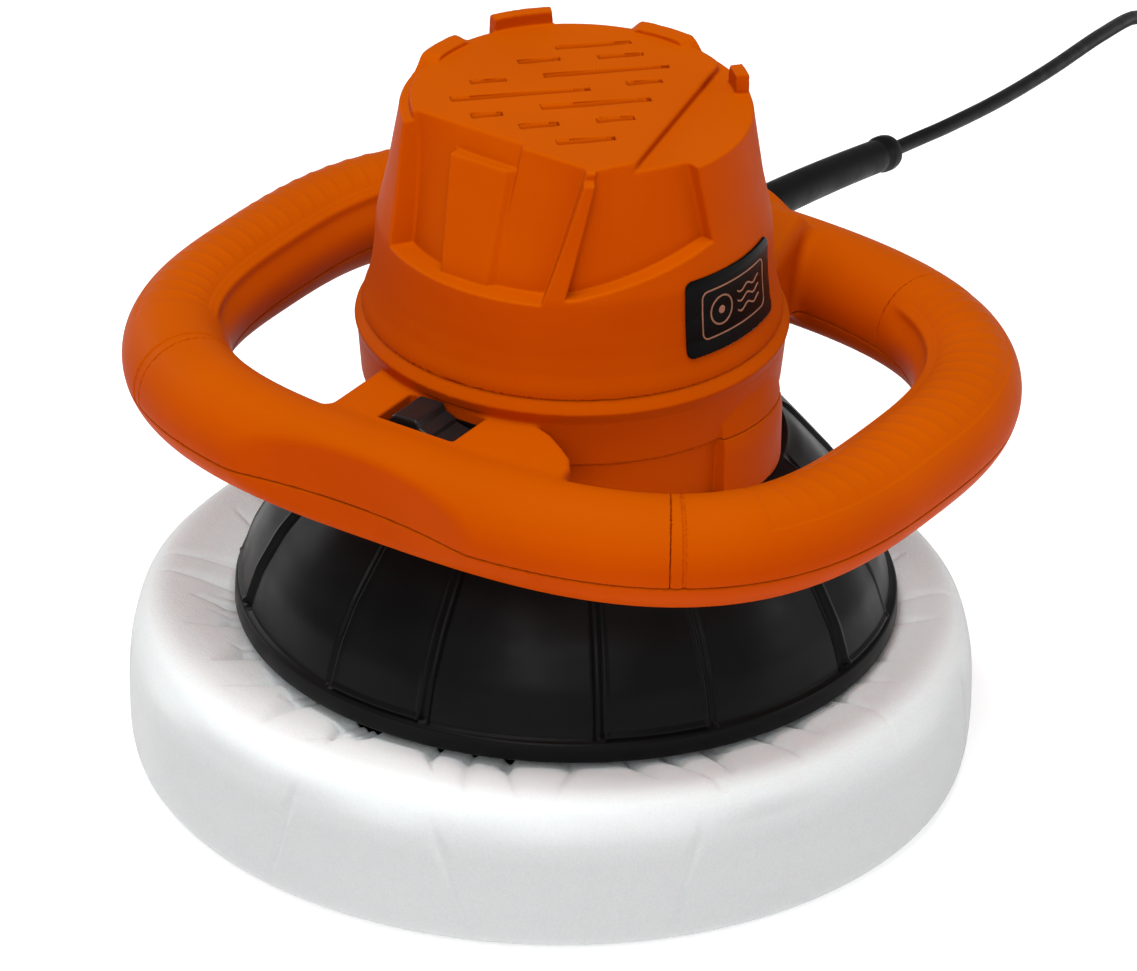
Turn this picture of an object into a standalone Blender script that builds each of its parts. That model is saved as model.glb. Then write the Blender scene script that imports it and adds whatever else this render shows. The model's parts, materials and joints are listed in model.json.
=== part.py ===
"""Hand-held car polisher: loop handle, bell shroud, off-centre pad with a cloth bonnet.

Metres, +Z up. The motor axis is Z, the polishing face lies on z = 0, the switch faces -Y
and the cord leaves towards +Y. The handle is widest along X.
"""
import bpy
import bmesh
from math import asin, cos, pi, radians, sin
from mathutils import Vector

# ---- driving dimensions ----
GAP = 0.0003                    # clearance between pieces that touch
SEGMENTS = 48                   # facets of a large round piece
PARTING_Z = 0.1310              # where the upper and lower housing shells meet
COVER_Z = 0.1570                # lower edge of the motor cover

HANDLE_HALF_X = 0.1185          # handle centreline, half length
HANDLE_HALF_Y = 0.0960          # handle centreline, half width
HANDLE_POWER = 2.87             # how square the loop is, 2 is an ellipse
HANDLE_Z = 0.1320
HANDLE_R = 0.0170
HANDLE_WALL = 0.0028
SEAM_ANGLE = 42                 # front seams of the grip covers, from the X axis
REAR_SEAM_ANGLE = 50

PLATFORM_Z = 0.1470             # flat top around the switch
PLATFORM_BASE_Z = 0.1197
BRIDGE_Z = 0.1562               # top of the rear bridge
BRIDGE_BASE_Z = 0.1265
HALF_WINDOW_X = 0.0137
WINDOW_CENTRE = (-0.0015, -0.0745)
HALF_WINDOW_Y = 0.0090

BONNET_R = 0.1310
CRANK = 0.0044                  # how far the pad's axis is from the motor's
CRANK_ANGLE = radians(213)
PAD_X = CRANK * cos(CRANK_ANGLE)
PAD_Y = CRANK * sin(CRANK_ANGLE)

CORD_D = 0.0048
CORD_EXIT_Z = 0.1410
GUARD_START = 0.1083            # where the cord guard meets the exit boss
GUARD_END = 0.1866
COIL_CENTRE = (-0.0080, 0.4950)
COIL_MID_R = 0.0288
COIL_HALF_WIDTH = 0.0100
COIL_BASE_Z = 0.0013
COIL_TOP_Z = 0.0215

# The uncoiled cord, from the clamp inside the housing to the side of the coil.
CORD_ROUTE = [
    (0.0000, 0.0830, 0.1410), (0.0000, 0.1000, 0.1410), (0.0000, 0.1186, 0.1408),
    (0.0005, 0.1512, 0.1362), (0.0009, 0.1866, 0.1300), (0.0005, 0.2228, 0.1240),
    (-0.0027, 0.2599, 0.1170), (-0.0097, 0.3042, 0.1080), (-0.0211, 0.3581, 0.0960),
    (-0.0294, 0.3963, 0.0850), (-0.0360, 0.4210, 0.0680), (-0.0410, 0.4380, 0.0450),
    (-0.0450, 0.4520, 0.0225), (-0.0478, 0.4670, 0.0085), (-0.0495, 0.4820, 0.0044),
    (-0.0498, 0.4950, 0.0042),
]
TAIL_ROUTE = [
    (0.0337, 0.5160, 0.0042), (0.0337, 0.5040, 0.0042), (0.0337, 0.4930, 0.0048),
    (0.0337, 0.4820, 0.0085), (0.0337, 0.4745, 0.0095), (0.0337, 0.4696, 0.0095),
]
PLUG_Y = 0.4690

# Motor stack, heights on the motor axis.
SHAFT_R = 0.0050
PLATE_Z = 0.1043
STATOR_R = 0.0460
STATOR_Z = (0.1260, 0.1720)
BOLT_X = 0.0400
BRUSH_Z = 0.1900
UPPER_PLATE_Z = 0.1963

ORANGE = ("moulded_orange", (0.60, 0.085, 0.004), 0.42, 0.0)
BLACK = ("moulded_black", (0.016, 0.016, 0.017), 0.40, 0.0)
RUBBER = ("black_rubber", (0.012, 0.012, 0.012), 0.55, 0.0)
CLOTH = ("white_cloth", (0.84, 0.85, 0.86), 0.95, 0.0)
FOAM = ("grey_foam", (0.09, 0.09, 0.10), 0.95, 0.0)
STEEL = ("steel", (0.52, 0.52, 0.54), 0.32, 1.0)
IRON = ("laminated_iron", (0.20, 0.20, 0.21), 0.50, 1.0)
COPPER = ("copper", (0.72, 0.32, 0.16), 0.38, 1.0)
ALLOY = ("cast_alloy", (0.55, 0.56, 0.58), 0.48, 1.0)
BRASS = ("brass", (0.70, 0.52, 0.20), 0.30, 1.0)
CARBON = ("carbon", (0.03, 0.03, 0.032), 0.65, 0.0)


# ---- helpers ----
def clear_scene():
    """Start from an empty scene."""
    for thing in list(bpy.data.objects):
        bpy.data.objects.remove(thing, do_unlink=True)


def material_of(finish):
    """The Principled material of a finish: name, colour, roughness, metallic."""
    name, colour, roughness, metallic = finish
    material = bpy.data.materials.get(name)
    if material is None:
        material = bpy.data.materials.new(name)
        material.use_nodes = True
        shader = material.node_tree.nodes["Principled BSDF"]
        shader.inputs["Base Color"].default_value = (*colour, 1.0)
        shader.inputs["Roughness"].default_value = roughness
        shader.inputs["Metallic"].default_value = metallic
    return material


def sweep(name, sections, finish=None, closed=False, parent=None):
    """One closed body through a row of sections, each a loop of as many points.

    closed joins the last section to the first, otherwise both ends get a flat cap.
    """
    mesh = bpy.data.meshes.new(name)
    bm = bmesh.new()
    rows = [[bm.verts.new(point) for point in section] for section in sections]
    count = len(rows[0])
    pairs = list(zip(rows, rows[1:]))
    if closed:
        pairs.append((rows[-1], rows[0]))
    for first, second in pairs:
        for i in range(count):
            j = (i + 1) % count
            bm.faces.new((first[i], first[j], second[j], second[i]))
    if not closed:
        bm.faces.new(rows[0])
        bm.faces.new(list(reversed(rows[-1])))
    bm.to_mesh(mesh)
    bm.free()
    weld(mesh)
    body = bpy.data.objects.new(name, mesh)
    bpy.context.collection.objects.link(body)
    body.parent = parent
    if finish:
        mesh.materials.append(material_of(finish))
        smooth(body)
    return body


def weld(mesh):
    """Merge points that fall together, such as those on a turning axis, and face outward."""
    bm = bmesh.new()
    bm.from_mesh(mesh)
    bmesh.ops.remove_doubles(bm, verts=bm.verts, dist=2e-6)
    loose = [edge for edge in bm.edges if not edge.link_faces]
    bmesh.ops.delete(bm, geom=loose, context="EDGES")
    bmesh.ops.recalc_face_normals(bm, faces=bm.faces)
    bm.to_mesh(mesh)
    bm.free()


def smooth(body):
    """Shade the round stretches smooth and keep real edges sharp."""
    body.data.shade_smooth()
    body.data.set_sharp_from_angle(angle=radians(32))


def combine(target, tools, operation):
    """Apply a Boolean of the tools to the target, and drop the tools."""
    for tool in tools:
        change = target.modifiers.new("shape", "BOOLEAN")
        change.operation = operation
        change.solver = "EXACT"
        change.object = tool
        depsgraph = bpy.context.evaluated_depsgraph_get()
        shaped = bpy.data.meshes.new_from_object(target.evaluated_get(depsgraph))
        target.modifiers.clear()
        target.data = shaped
        weld(shaped)
        bpy.data.objects.remove(tool, do_unlink=True)
    smooth(target)
    return target


def cut(target, *tools):
    return combine(target, tools, "DIFFERENCE")


def join(target, *tools):
    return combine(target, tools, "UNION")


def lathe(name, profile, finish=None, segments=SEGMENTS, centre=(0, 0), arc=None, parent=None):
    """Turn a closed profile of (radius, z) about a vertical axis, all round or over an arc."""
    if arc:
        steps = max(1, round((arc[1] - arc[0]) / 360 * segments))
        angles = [radians(arc[0] + (arc[1] - arc[0]) * i / steps) for i in range(steps + 1)]
    else:
        angles = [2 * pi * i / segments for i in range(segments)]
    sections = [[(centre[0] + r * cos(a), centre[1] + r * sin(a), z) for r, z in profile]
                for a in angles]
    return sweep(name, sections, finish, closed=not arc, parent=parent)


def disc(name, radius, low, high, finish=None, segments=24, centre=(0, 0), bore=0, parent=None):
    """A round plate or pin, or a ring where it has a bore."""
    profile = [(bore, low), (radius, low), (radius, high), (bore, high)]
    return lathe(name, profile, finish, segments, centre, parent=parent)


def prism(name, outline, low, high, finish=None, parent=None):
    """An outline of (x, y) points raised from one height to another."""
    sections = [[(x, y, z) for x, y in outline] for z in (low, high)]
    return sweep(name, sections, finish, parent=parent)


def box(name, centre, half, finish=None, parent=None):
    """A box from its centre and its half sizes."""
    (cx, cy, cz), (hx, hy, hz) = centre, half
    outline = [(cx - hx, cy - hy), (cx + hx, cy - hy), (cx + hx, cy + hy), (cx - hx, cy + hy)]
    return prism(name, outline, cz - hz, cz + hz, finish, parent)


def rod(name, start, end, radius, finish=None, sides=20, end_radius=None, parent=None):
    """A round bar from one point to another, tapered where it has an end radius."""
    start, end = Vector(start), Vector(end)
    along = (end - start).normalized()
    side = along.orthogonal().normalized()
    other = along.cross(side)
    sections = []
    for point, r in ((start, radius), (end, end_radius or radius)):
        turn = [2 * pi * i / sides for i in range(sides)]
        sections.append([point + side * (r * cos(a)) + other * (r * sin(a)) for a in turn])
    return sweep(name, sections, finish, parent=parent)


def smooth_route(route, step):
    """Evenly spaced points on a smooth curve through the route's points."""
    points = [Vector(p) for p in route]
    ends = [2 * points[0] - points[1]] + points + [2 * points[-1] - points[-2]]
    fine = []
    for a, b, c, d in zip(ends, ends[1:], ends[2:], ends[3:]):
        for i in range(20):
            t = i / 20
            fine.append(0.5 * (2 * b + (c - a) * t + (2 * a - 5 * b + 4 * c - d) * t * t
                               + (3 * b - a - 3 * c + d) * t ** 3))
    fine.append(points[-1])
    even = [fine[0]]
    since = 0.0
    for before, after in zip(fine, fine[1:]):
        since += (after - before).length
        if since >= step:
            even.append(after)
            since = 0.0
    if (even[-1] - fine[-1]).length < step / 2:
        even.pop()
    even.append(fine[-1])
    return even


def tube(name, route, radius, finish, resolution=2, step=0.011):
    """A cord: a curve of straight runs between close points, with a round bevel and caps."""
    curve = bpy.data.curves.new(name, "CURVE")
    curve.dimensions = "3D"
    curve.bevel_depth = radius
    curve.bevel_resolution = resolution
    curve.use_fill_caps = True
    points = smooth_route(route, step)
    spline = curve.splines.new("POLY")
    spline.points.add(len(points) - 1)
    for place, point in zip(spline.points, points):
        place.co = (*point, 1.0)
    curve.materials.append(material_of(finish))
    body = bpy.data.objects.new(name, curve)
    bpy.context.collection.objects.link(body)
    return body


# ---- handle loop ----
def handle_point(angle):
    """Centreline point and outward direction of the handle at an angle from +X."""
    def at(a):
        reach = (abs(cos(a) / HANDLE_HALF_X) ** HANDLE_POWER
                 + abs(sin(a) / HANDLE_HALF_Y) ** HANDLE_POWER) ** (-1 / HANDLE_POWER)
        return Vector((reach * cos(a), reach * sin(a), 0))
    here = at(angle)
    along = at(angle + 0.002) - at(angle - 0.002)
    return here, Vector((along.y, -along.x, 0)).normalized()


def handle_sections(outline, arc, step=9):
    """The outline, of (outward, up) points, set out along the handle."""
    first, last = arc
    steps = max(1, round((last - first) / step))
    sections = []
    for i in range(steps if last - first == 360 else steps + 1):
        centre, outward = handle_point(radians(first + (last - first) * i / steps))
        sections.append([centre + outward * u + Vector((0, 0, HANDLE_Z + v)) for u, v in outline])
    return sections


def half_round(radius, upper, flat, count=7):
    """Half of a round section above or below the parting plane."""
    start = asin(flat / radius)
    low, high = (start, pi - start) if upper else (pi - start, 2 * pi + start)
    angles = [low + (high - low) * i / (count - 1) for i in range(count)]
    return [(radius * cos(a), radius * sin(a)) for a in angles]


def shell_section(upper):
    """Half of the handle's hollow section: outer arc out, inner arc back."""
    flat = PARTING_Z - HANDLE_Z + (GAP / 2 if upper else -GAP / 2)
    outer = half_round(HANDLE_R, upper, flat)
    inner = half_round(HANDLE_R - HANDLE_WALL, upper, flat, 5)
    return outer + inner[::-1]


def handle_run(name, arc, upper, radius, overshoot=0.0):
    """A solid half-round run of the handle, used to build and to hollow the housings."""
    flat = PARTING_Z - HANDLE_Z + (GAP / 2 if upper else -GAP / 2)
    outline = half_round(radius, upper, flat)
    if overshoot:
        lift = -overshoot if upper else overshoot
        outline = outline + [(outline[-1][0], flat + lift), (outline[0][0], flat + lift)]
    whole = arc[1] - arc[0] == 360
    return sweep(name, handle_sections(outline, arc), closed=whole)


def handle_screw_places():
    """Where the four screws sit on the handle's side arms."""
    places = []
    for angle in (-28, 28, 152, 208):
        centre, _ = handle_point(radians(angle))
        places.append((centre.x, centre.y))
    return places


def make_grip_cover(name, arc, places):
    """The ribbed upper shell of one handle arm, with two screw bosses inside."""
    cover = sweep(name, handle_sections(shell_section(True), arc), ORANGE)
    low = PARTING_Z + GAP / 2
    bosses = [disc("boss", 0.0042, low, HANDLE_Z + 0.0155, None, 10, place) for place in places]
    join(cover, *bosses)
    holes = [disc("hole", 0.0016, low - 0.01, HANDLE_Z + 0.0060, None, 8, place)
             for place in places]
    return cut(cover, *holes)


# ---- housing ----
PLATFORM = [(-0.0320, -0.1000), (-0.0320, -0.0500), (0.0200, -0.0550), (0.0280, -0.0600),
            (0.0340, -0.0622), (0.0413, -0.0670), (0.0465, -0.0710), (0.0499, -0.0760),
            (0.0512, -0.0820), (0.0514, -0.1000)]
PLATFORM_ROOM = [(-0.0290, -0.0930), (-0.0290, -0.0560), (0.0200, -0.0580), (0.0330, -0.0650),
                 (0.0420, -0.0710), (0.0465, -0.0800), (0.0465, -0.0930)]
BRIDGE_SIDE = [(0.0420, 0.0400), (0.0395, 0.0520), (0.0355, 0.0660), (0.0315, 0.0800),
               (0.0280, 0.0920)]
BRIDGE = BRIDGE_SIDE + [(-x, y) for x, y in reversed(BRIDGE_SIDE)]
BRIDGE_ROOM = [(-0.0300, 0.0500), (0.0300, 0.0500), (0.0215, 0.0900), (-0.0215, 0.0900)]
BOSS_R = 0.0673                 # raised pad on the right of the barrel
BOSS_ARC = (-12, 28)
BOSS_BASE_Z = 0.1115


def make_upper_housing():
    """Barrel above the parting plane, with the handle's front and rear runs in one moulding."""
    low = PARTING_Z + GAP / 2
    barrel = [(0, low), (0.0646, low), (0.0661, 0.1480), (0.0668, 0.1520), (0.0660, 0.1550),
              (0.0640, COVER_Z - GAP), (0, COVER_Z - GAP)]
    housing = lathe("upper_housing", barrel, ORANGE)
    front = (180 + SEAM_ANGLE, 360 - SEAM_ANGLE)
    rear = (REAR_SEAM_ANGLE, 180 - REAR_SEAM_ANGLE)
    join(housing,
         handle_run("front_run", front, True, HANDLE_R),
         handle_run("rear_run", rear, True, HANDLE_R),
         prism("platform", PLATFORM, low, PLATFORM_Z),
         prism("bridge", BRIDGE, low, BRIDGE_Z),
         boss_pad(low, 0.1480),
         rod("exit_boss", (0, 0.1000, CORD_EXIT_Z), (0, GUARD_START - GAP, CORD_EXIT_Z), 0.0092))
    beyond = 2
    inner_r = HANDLE_R - HANDLE_WALL
    cut(housing,
        disc("motor_room", 0.0605, low - 0.01, COVER_Z + 0.01, None, SEGMENTS),
        handle_run("front_room", (front[0] - beyond, front[1] + beyond), True, inner_r, 0.004),
        handle_run("rear_room", (rear[0] - beyond, rear[1] + beyond), True, inner_r, 0.004),
        prism("platform_room", PLATFORM_ROOM, low - 0.01, PLATFORM_Z - 0.0030),
        prism("bridge_room", BRIDGE_ROOM, low - 0.01, BRIDGE_Z - 0.0030),
        box("window", (*WINDOW_CENTRE, PLATFORM_Z - 0.0035),
            (HALF_WINDOW_X, HALF_WINDOW_Y, 0.0040)),
        rod("cord_hole", (0, 0.0950, CORD_EXIT_Z), (0, 0.1250, CORD_EXIT_Z), 0.0054),
        rod("guard_seat", (0, GUARD_START - GAP, CORD_EXIT_Z), (0, 0.1250, CORD_EXIT_Z), 0.0066))
    return housing


def boss_pad(low, high):
    """Raised pad on the right of the barrel, in both shells."""
    inner = BOSS_R - 0.0050
    return lathe("boss_pad", [(inner, low), (BOSS_R, low), (BOSS_R, high), (inner, high)],
                 arc=BOSS_ARC)


def make_lower_housing():
    """Barrel below the parting plane and the lower half of the handle, in one moulding."""
    high = PARTING_Z - GAP / 2
    barrel = [(0, 0.1000), (0.0618, 0.1000), (0.0624, 0.1180), (0.0638, high), (0, high)]
    housing = lathe("lower_housing", barrel, ORANGE)
    join(housing,
         handle_run("loop", (0, 360), False, HANDLE_R),
         prism("platform", PLATFORM, PLATFORM_BASE_Z, high),
         prism("bridge", BRIDGE, BRIDGE_BASE_Z, high),
         boss_pad(BOSS_BASE_Z, high))
    places = handle_screw_places()
    inner_r = HANDLE_R - HANDLE_WALL
    cut(housing,
        handle_run("loop_room", (0, 360), False, inner_r, 0.004),
        disc("motor_room", 0.0592, 0.1040, high + 0.01, None, SEGMENTS),
        disc("air_outlet", 0.0500, 0.0950, 0.1080, None, SEGMENTS),
        prism("platform_room", PLATFORM_ROOM, PLATFORM_BASE_Z + 0.0025, high + 0.01),
        prism("bridge_room", BRIDGE_ROOM, BRIDGE_BASE_Z + 0.0025, high + 0.01),
        rod("guard_seat", (0, GUARD_START - GAP, CORD_EXIT_Z), (0, 0.1250, CORD_EXIT_Z), 0.0066),
        rod("cord_hole", (0, 0.0950, CORD_EXIT_Z), (0, 0.1250, CORD_EXIT_Z), 0.0054))
    bosses = [disc("boss", 0.0042, HANDLE_Z - 0.0155, high, None, 10, place) for place in places]
    join(housing, *bosses)
    for place in places:
        cut(housing,
            disc("hole", 0.0019, 0.110, high + 0.01, None, 8, place),
            disc("counterbore", 0.0036, 0.110, HANDLE_Z - 0.0120, None, 10, place))
    cut(housing, *[disc("hole", 0.0019, 0.09, 0.11, None, 8, place)
                   for place in flange_screw_places()])
    return housing


def flange_screw_places():
    """Four screws that hold the shroud and the bearing plate to the lower housing."""
    return [(0.0545 * cos(radians(a)), 0.0545 * sin(radians(a))) for a in (45, 135, 225, 315)]


def sector(name, low, high, low_arc, high_arc, low_r, high_r, steps):
    """A wedge between two heights whose arc and radii change from bottom to top."""
    sections = []
    for i in range(steps + 1):
        t = i / steps
        a = radians(low_arc[0] + (low_arc[1] - low_arc[0]) * t)
        b = radians(high_arc[0] + (high_arc[1] - high_arc[0]) * t)
        sections.append([
            (low_r[0] * cos(a), low_r[0] * sin(a), low),
            (low_r[1] * cos(a), low_r[1] * sin(a), low),
            (high_r[1] * cos(b), high_r[1] * sin(b), high),
            (high_r[0] * cos(b), high_r[0] * sin(b), high)])
    return sweep(name, sections)


SHELF_Z = 0.2225
PLATEAU_Z = 0.2255


def make_top_cover():
    """Motor cover: collar, tapered side with recessed panels, vented top, raised rim tabs."""
    outside = [(0, COVER_Z), (0.0655, COVER_Z), (0.0661, 0.1585), (0.0636, 0.1625),
               (0.0619, 0.1680), (0.0611, 0.1760), (0.0607, 0.1860), (0.0575, 0.2000),
               (0.0542, 0.2205), (0.0525, SHELF_Z), (0, SHELF_Z)]
    cover = lathe("top_cover", outside, ORANGE)
    plateau = [(0.0510 * cos(radians(a)), 0.0510 * sin(radians(a))) for a in range(70, 311, 10)]
    plateau += [(0.0365, -0.0290), (0.0355, -0.0080), (0.0290, 0.0280)]
    tabs = [("tab", (132, 154), 0.2300), ("fin", (38, 58), 0.2295),
            ("rear_arc", (76, 107), 0.2272), ("side_arc", (161, 193), 0.2270)]
    rim = [sector(name, SHELF_Z - 0.002, top, arc, arc, (0.0500, 0.0536), (0.0500, 0.0536), 4)
           for name, arc, top in tabs]
    join(cover, prism("plateau", plateau, SHELF_Z - 0.002, PLATEAU_Z), *rim)
    over = 0.2340
    cut(cover,
        sector("front_recess", 0.1850, over, (-127, -66), (-127, -53),
               (0.0545, 0.075), (0.0385, 0.075), 12),
        sector("right_recess", 0.1870, over, (-59, -9), (-50, -14),
               (0.0552, 0.075), (0.0485, 0.075), 8),
        sector("rear_recess", 0.1870, over, (66, 102), (66, 102),
               (0.0560, 0.0590), (0.0500, 0.0512), 7),
        sector("left_recess", 0.1870, SHELF_Z - 0.003, (112, 148), (112, 148),
               (0.0560, 0.075), (0.0508, 0.075), 7))
    join(cover, sector("front_rib", 0.1840, 0.2205, (-99, -79), (-98, -77),
                       (0.0500, 0.0574), (0.0380, 0.0485), 4))
    cut(cover, lathe("motor_room", [(0, COVER_Z - 0.01), (0.0605, COVER_Z - 0.01),
                                    (0.0585, 0.1680), (0.0565, 0.1800), (0.0505, 0.1850),
                                    (0.0360, SHELF_Z), (0, SHELF_Z)]))
    return cut(cover, *[vent_slot(*slot) for slot in VENTS])


# Vent slots: start and end along the slot, and place across the slots.
VENTS = [(0.0005, 0.024, 0.0340), (-0.013, 0.000, 0.0262), (0.012, 0.026, 0.0255),
         (-0.007, 0.032, 0.0158), (-0.030, -0.019, 0.0150), (0.017, 0.028, 0.0065),
         (-0.038, 0.005, 0.0045), (-0.012, 0.022, -0.0052), (-0.034, -0.0245, -0.0074),
         (-0.021, -0.009, -0.0168), (0.003, 0.0145, -0.0164), (-0.012, 0.006, -0.0290)]
VENT_ANGLE = radians(45)
VENT_WIDTH = 0.0018


def vent_slot(start, end, across):
    """A narrow slot through the cover's top, in line with the others."""
    def turned(u, v):
        return (u * cos(VENT_ANGLE) - v * sin(VENT_ANGLE), u * sin(VENT_ANGLE) + v * cos(VENT_ANGLE))
    half = VENT_WIDTH / 2
    outline = [turned(start, across - half), turned(end, across - half),
               turned(end, across + half), turned(start, across + half)]
    return prism("slot", outline, 0.2150, 0.2300)


def make_nameplate():
    """Thin plate that follows the collar."""
    wall = 0.0007
    outer = [(0.0635, 0.1630), (0.0619, 0.1680), (0.0611, 0.1760), (0.0607, 0.1845)]
    profile = [(r + GAP, z) for r, z in outer] + [(r + GAP + wall, z) for r, z in outer[::-1]]
    return lathe("nameplate", profile, BLACK, arc=(-24, 18))


PANEL_COUNT = 7
PANEL_HALF = 9.6
PANEL_FIRST = -92


def make_shroud():
    """Bell-shaped skirt with a rim lip and raised panels, open below."""
    outside = [(0.0640, 0.1110), (0.0662, 0.1110), (0.0702, 0.1085), (0.0745, 0.1035),
               (0.0815, 0.0950), (0.0908, 0.0835), (0.0972, 0.0715), (0.1003, 0.0615),
               (0.1012, 0.0575), (0.1034, 0.0570), (0.1036, 0.0508), (0.1008, 0.0508)]
    inside = [(0.0985, 0.0590), (0.0945, 0.0715), (0.0882, 0.0835), (0.0818, 0.0915),
              (0.0775, 0.0965), (0.0450, 0.0965), (0.0450, 0.0997), (0.0730, 0.0997),
              (0.0690, 0.1045), (0.0640, 0.1075)]
    shroud = lathe("shroud", outside + inside, BLACK, 42)
    raised = 0.0013
    face = outside[2:9]
    profile = [(r - 0.001, z) for r, z in face] + [(r + raised, z) for r, z in face[::-1]]
    panels = []
    for i in range(PANEL_COUNT):
        middle = PANEL_FIRST + i * 360 / PANEL_COUNT
        panels.append(lathe("panel", profile, None, 42,
                            arc=(middle - PANEL_HALF, middle + PANEL_HALF)))
    join(shroud, *panels)
    return cut(shroud, *[disc("hole", 0.0019, 0.09, 0.11, None, 8, place)
                         for place in flange_screw_places()])


def make_screw(name, place, head_low, shank_top, head_r=0.0031, shank_r=0.0013):
    """A screw that points up: round head below, plain shank above."""
    profile = [(0, head_low), (head_r, head_low), (head_r, head_low + 0.0020),
               (shank_r, head_low + 0.0020), (shank_r, shank_top), (0, shank_top)]
    return lathe(name, profile, STEEL, 10, place)


def make_screws():
    for i, place in enumerate(handle_screw_places(), 1):
        make_screw(f"handle_screw_{i}", place, HANDLE_Z - 0.0143, HANDLE_Z + 0.0050)
    for i, place in enumerate(flange_screw_places(), 1):
        make_screw(f"shroud_screw_{i}", place, 0.0941, 0.1070)


# ---- switch ----
ROCKER_PIN_Z = 0.1405


def make_switch():
    """Switch case under the window, and the rocker that tilts in it."""
    x, y = WINDOW_CENTRE
    case = box("switch_body", (x, y, 0.1330), (0.0132, 0.0093, 0.0105), BLACK)
    side = [(-0.0108, -0.0005), (-0.0030, -0.0030), (0.0030, -0.0030), (0.0108, -0.0015),
            (0.0112, 0.0018), (0.0040, 0.0036), (0.0010, 0.0062), (-0.0010, 0.0092),
            (-0.0095, 0.0100), (-0.0106, 0.0050)]
    rocker = sweep("switch_rocker", [[(u, v, w) for u, w in side] for v in (-0.0076, 0.0076)],
                   BLACK)
    rocker.location = (x, y, ROCKER_PIN_Z)
    return cut(case, box("well", (x, y, 0.14125), (0.0122, 0.0083, 0.00625)))


# ---- cord, from the housing to the plug ----
def along_cord(first, last, radii, sides, name, finish=None, count=7):
    """A round piece that follows the cord between two distances along the route."""
    points = smooth_route(CORD_ROUTE, 0.002)
    near = [p for p in points if first <= p.y <= last]
    rows = []
    for i in range(count):
        t = i / (count - 1)
        place = near[round(t * (len(near) - 1))]
        index = points.index(place)
        along = (points[index + 1] - points[index - 1]).normalized()
        side = Vector((1, 0, 0))
        up = side.cross(along).normalized()
        r = radii[0] + (radii[1] - radii[0]) * t
        rows.append([place + side * (r * cos(a)) + up * (r * sin(a))
                     for a in [2 * pi * k / sides for k in range(sides)]])
    return sweep(name, rows, finish)


def make_cord_guard():
    """Tapered rubber sleeve with a collar at its far end and a neck in the housing."""
    guard = along_cord(GUARD_START, GUARD_END, (0.0061, 0.0054), 16, "cord_guard", RUBBER, 6)
    join(guard,
         rod("neck", (0, 0.0960, CORD_EXIT_Z), (0, 0.1115, CORD_EXIT_Z), 0.0048),
         along_cord(0.1790, 0.1846, (0.0063, 0.0065), 16, "collar", None, 2))
    return cut(guard, along_cord(0.0900, 0.2000, (0.0029, 0.0029), 12, "bore", None, 12))


def make_cord():
    """Clamp, cord, its coil, tie and plug."""
    clamp = box("cord_clamp", (0, 0.0865, 0.1415), (0.0110, 0.0022, 0.0096), BLACK)
    cut(clamp, rod("hole", (0, 0.08, CORD_EXIT_Z), (0, 0.095, CORD_EXIT_Z), 0.0028))
    tube("power_cord", CORD_ROUTE, CORD_D / 2, RUBBER)
    inner, outer = COIL_MID_R - COIL_HALF_WIDTH, COIL_MID_R + COIL_HALF_WIDTH
    bevel = 0.003
    ring = [(inner, COIL_BASE_Z + bevel), (inner + bevel, COIL_BASE_Z),
            (outer - bevel, COIL_BASE_Z), (outer, COIL_BASE_Z + bevel),
            (outer, COIL_TOP_Z - bevel), (outer - bevel, COIL_TOP_Z),
            (inner + bevel, COIL_TOP_Z), (inner, COIL_TOP_Z - bevel)]
    lathe("cord_coil", ring, RUBBER, 32, COIL_CENTRE)
    make_cord_tie(inner, outer)
    make_plug()


def make_cord_tie(inner, outer):
    """A flat band round the coil's turns, on the side away from the plug."""
    wall = 0.0008
    middle = (COIL_CENTRE[0], COIL_CENTRE[1] + COIL_MID_R, (COIL_BASE_Z + COIL_TOP_Z) / 2)
    half_y = (outer - inner) / 2 + GAP
    half_z = (COIL_TOP_Z - COIL_BASE_Z) / 2 + GAP
    tie = box("cord_tie", middle, (0.0035, half_y + wall, half_z + wall), BLACK)
    return cut(tie, box("room", middle, (0.01, half_y + 0.0001, half_z)))


def make_plug():
    """Two-pin mains plug that lies beside the coil, with its short lead."""
    x, _, z = TAIL_ROUTE[-1]
    body = [(0.0030, 0.0030, 0.000), (0.0040, 0.0040, -0.012), (0.0085, 0.0075, -0.017),
            (0.0120, 0.0090, -0.024), (0.0125, 0.0091, -0.036)]
    rows = []
    for half_x, half_z, along in body:
        rows.append([(x + half_x * cos(a) * (1.0 + 0.12 * abs(sin(2 * a))), PLUG_Y + along,
                      z + half_z * sin(a) * (1.0 + 0.05 * abs(sin(2 * a))))
                     for a in [2 * pi * k / 24 for k in range(24)]])
    sweep("plug_body", rows, RUBBER)
    for name, side in (("plug_pin_left", -1), ("plug_pin_right", 1)):
        box(name, (x + side * 0.0063, PLUG_Y - 0.0450, z), (0.00075, 0.0086, 0.0031), BRASS)
    tube("cord_tail", TAIL_ROUTE, CORD_D / 2, RUBBER, step=0.009)


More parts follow.
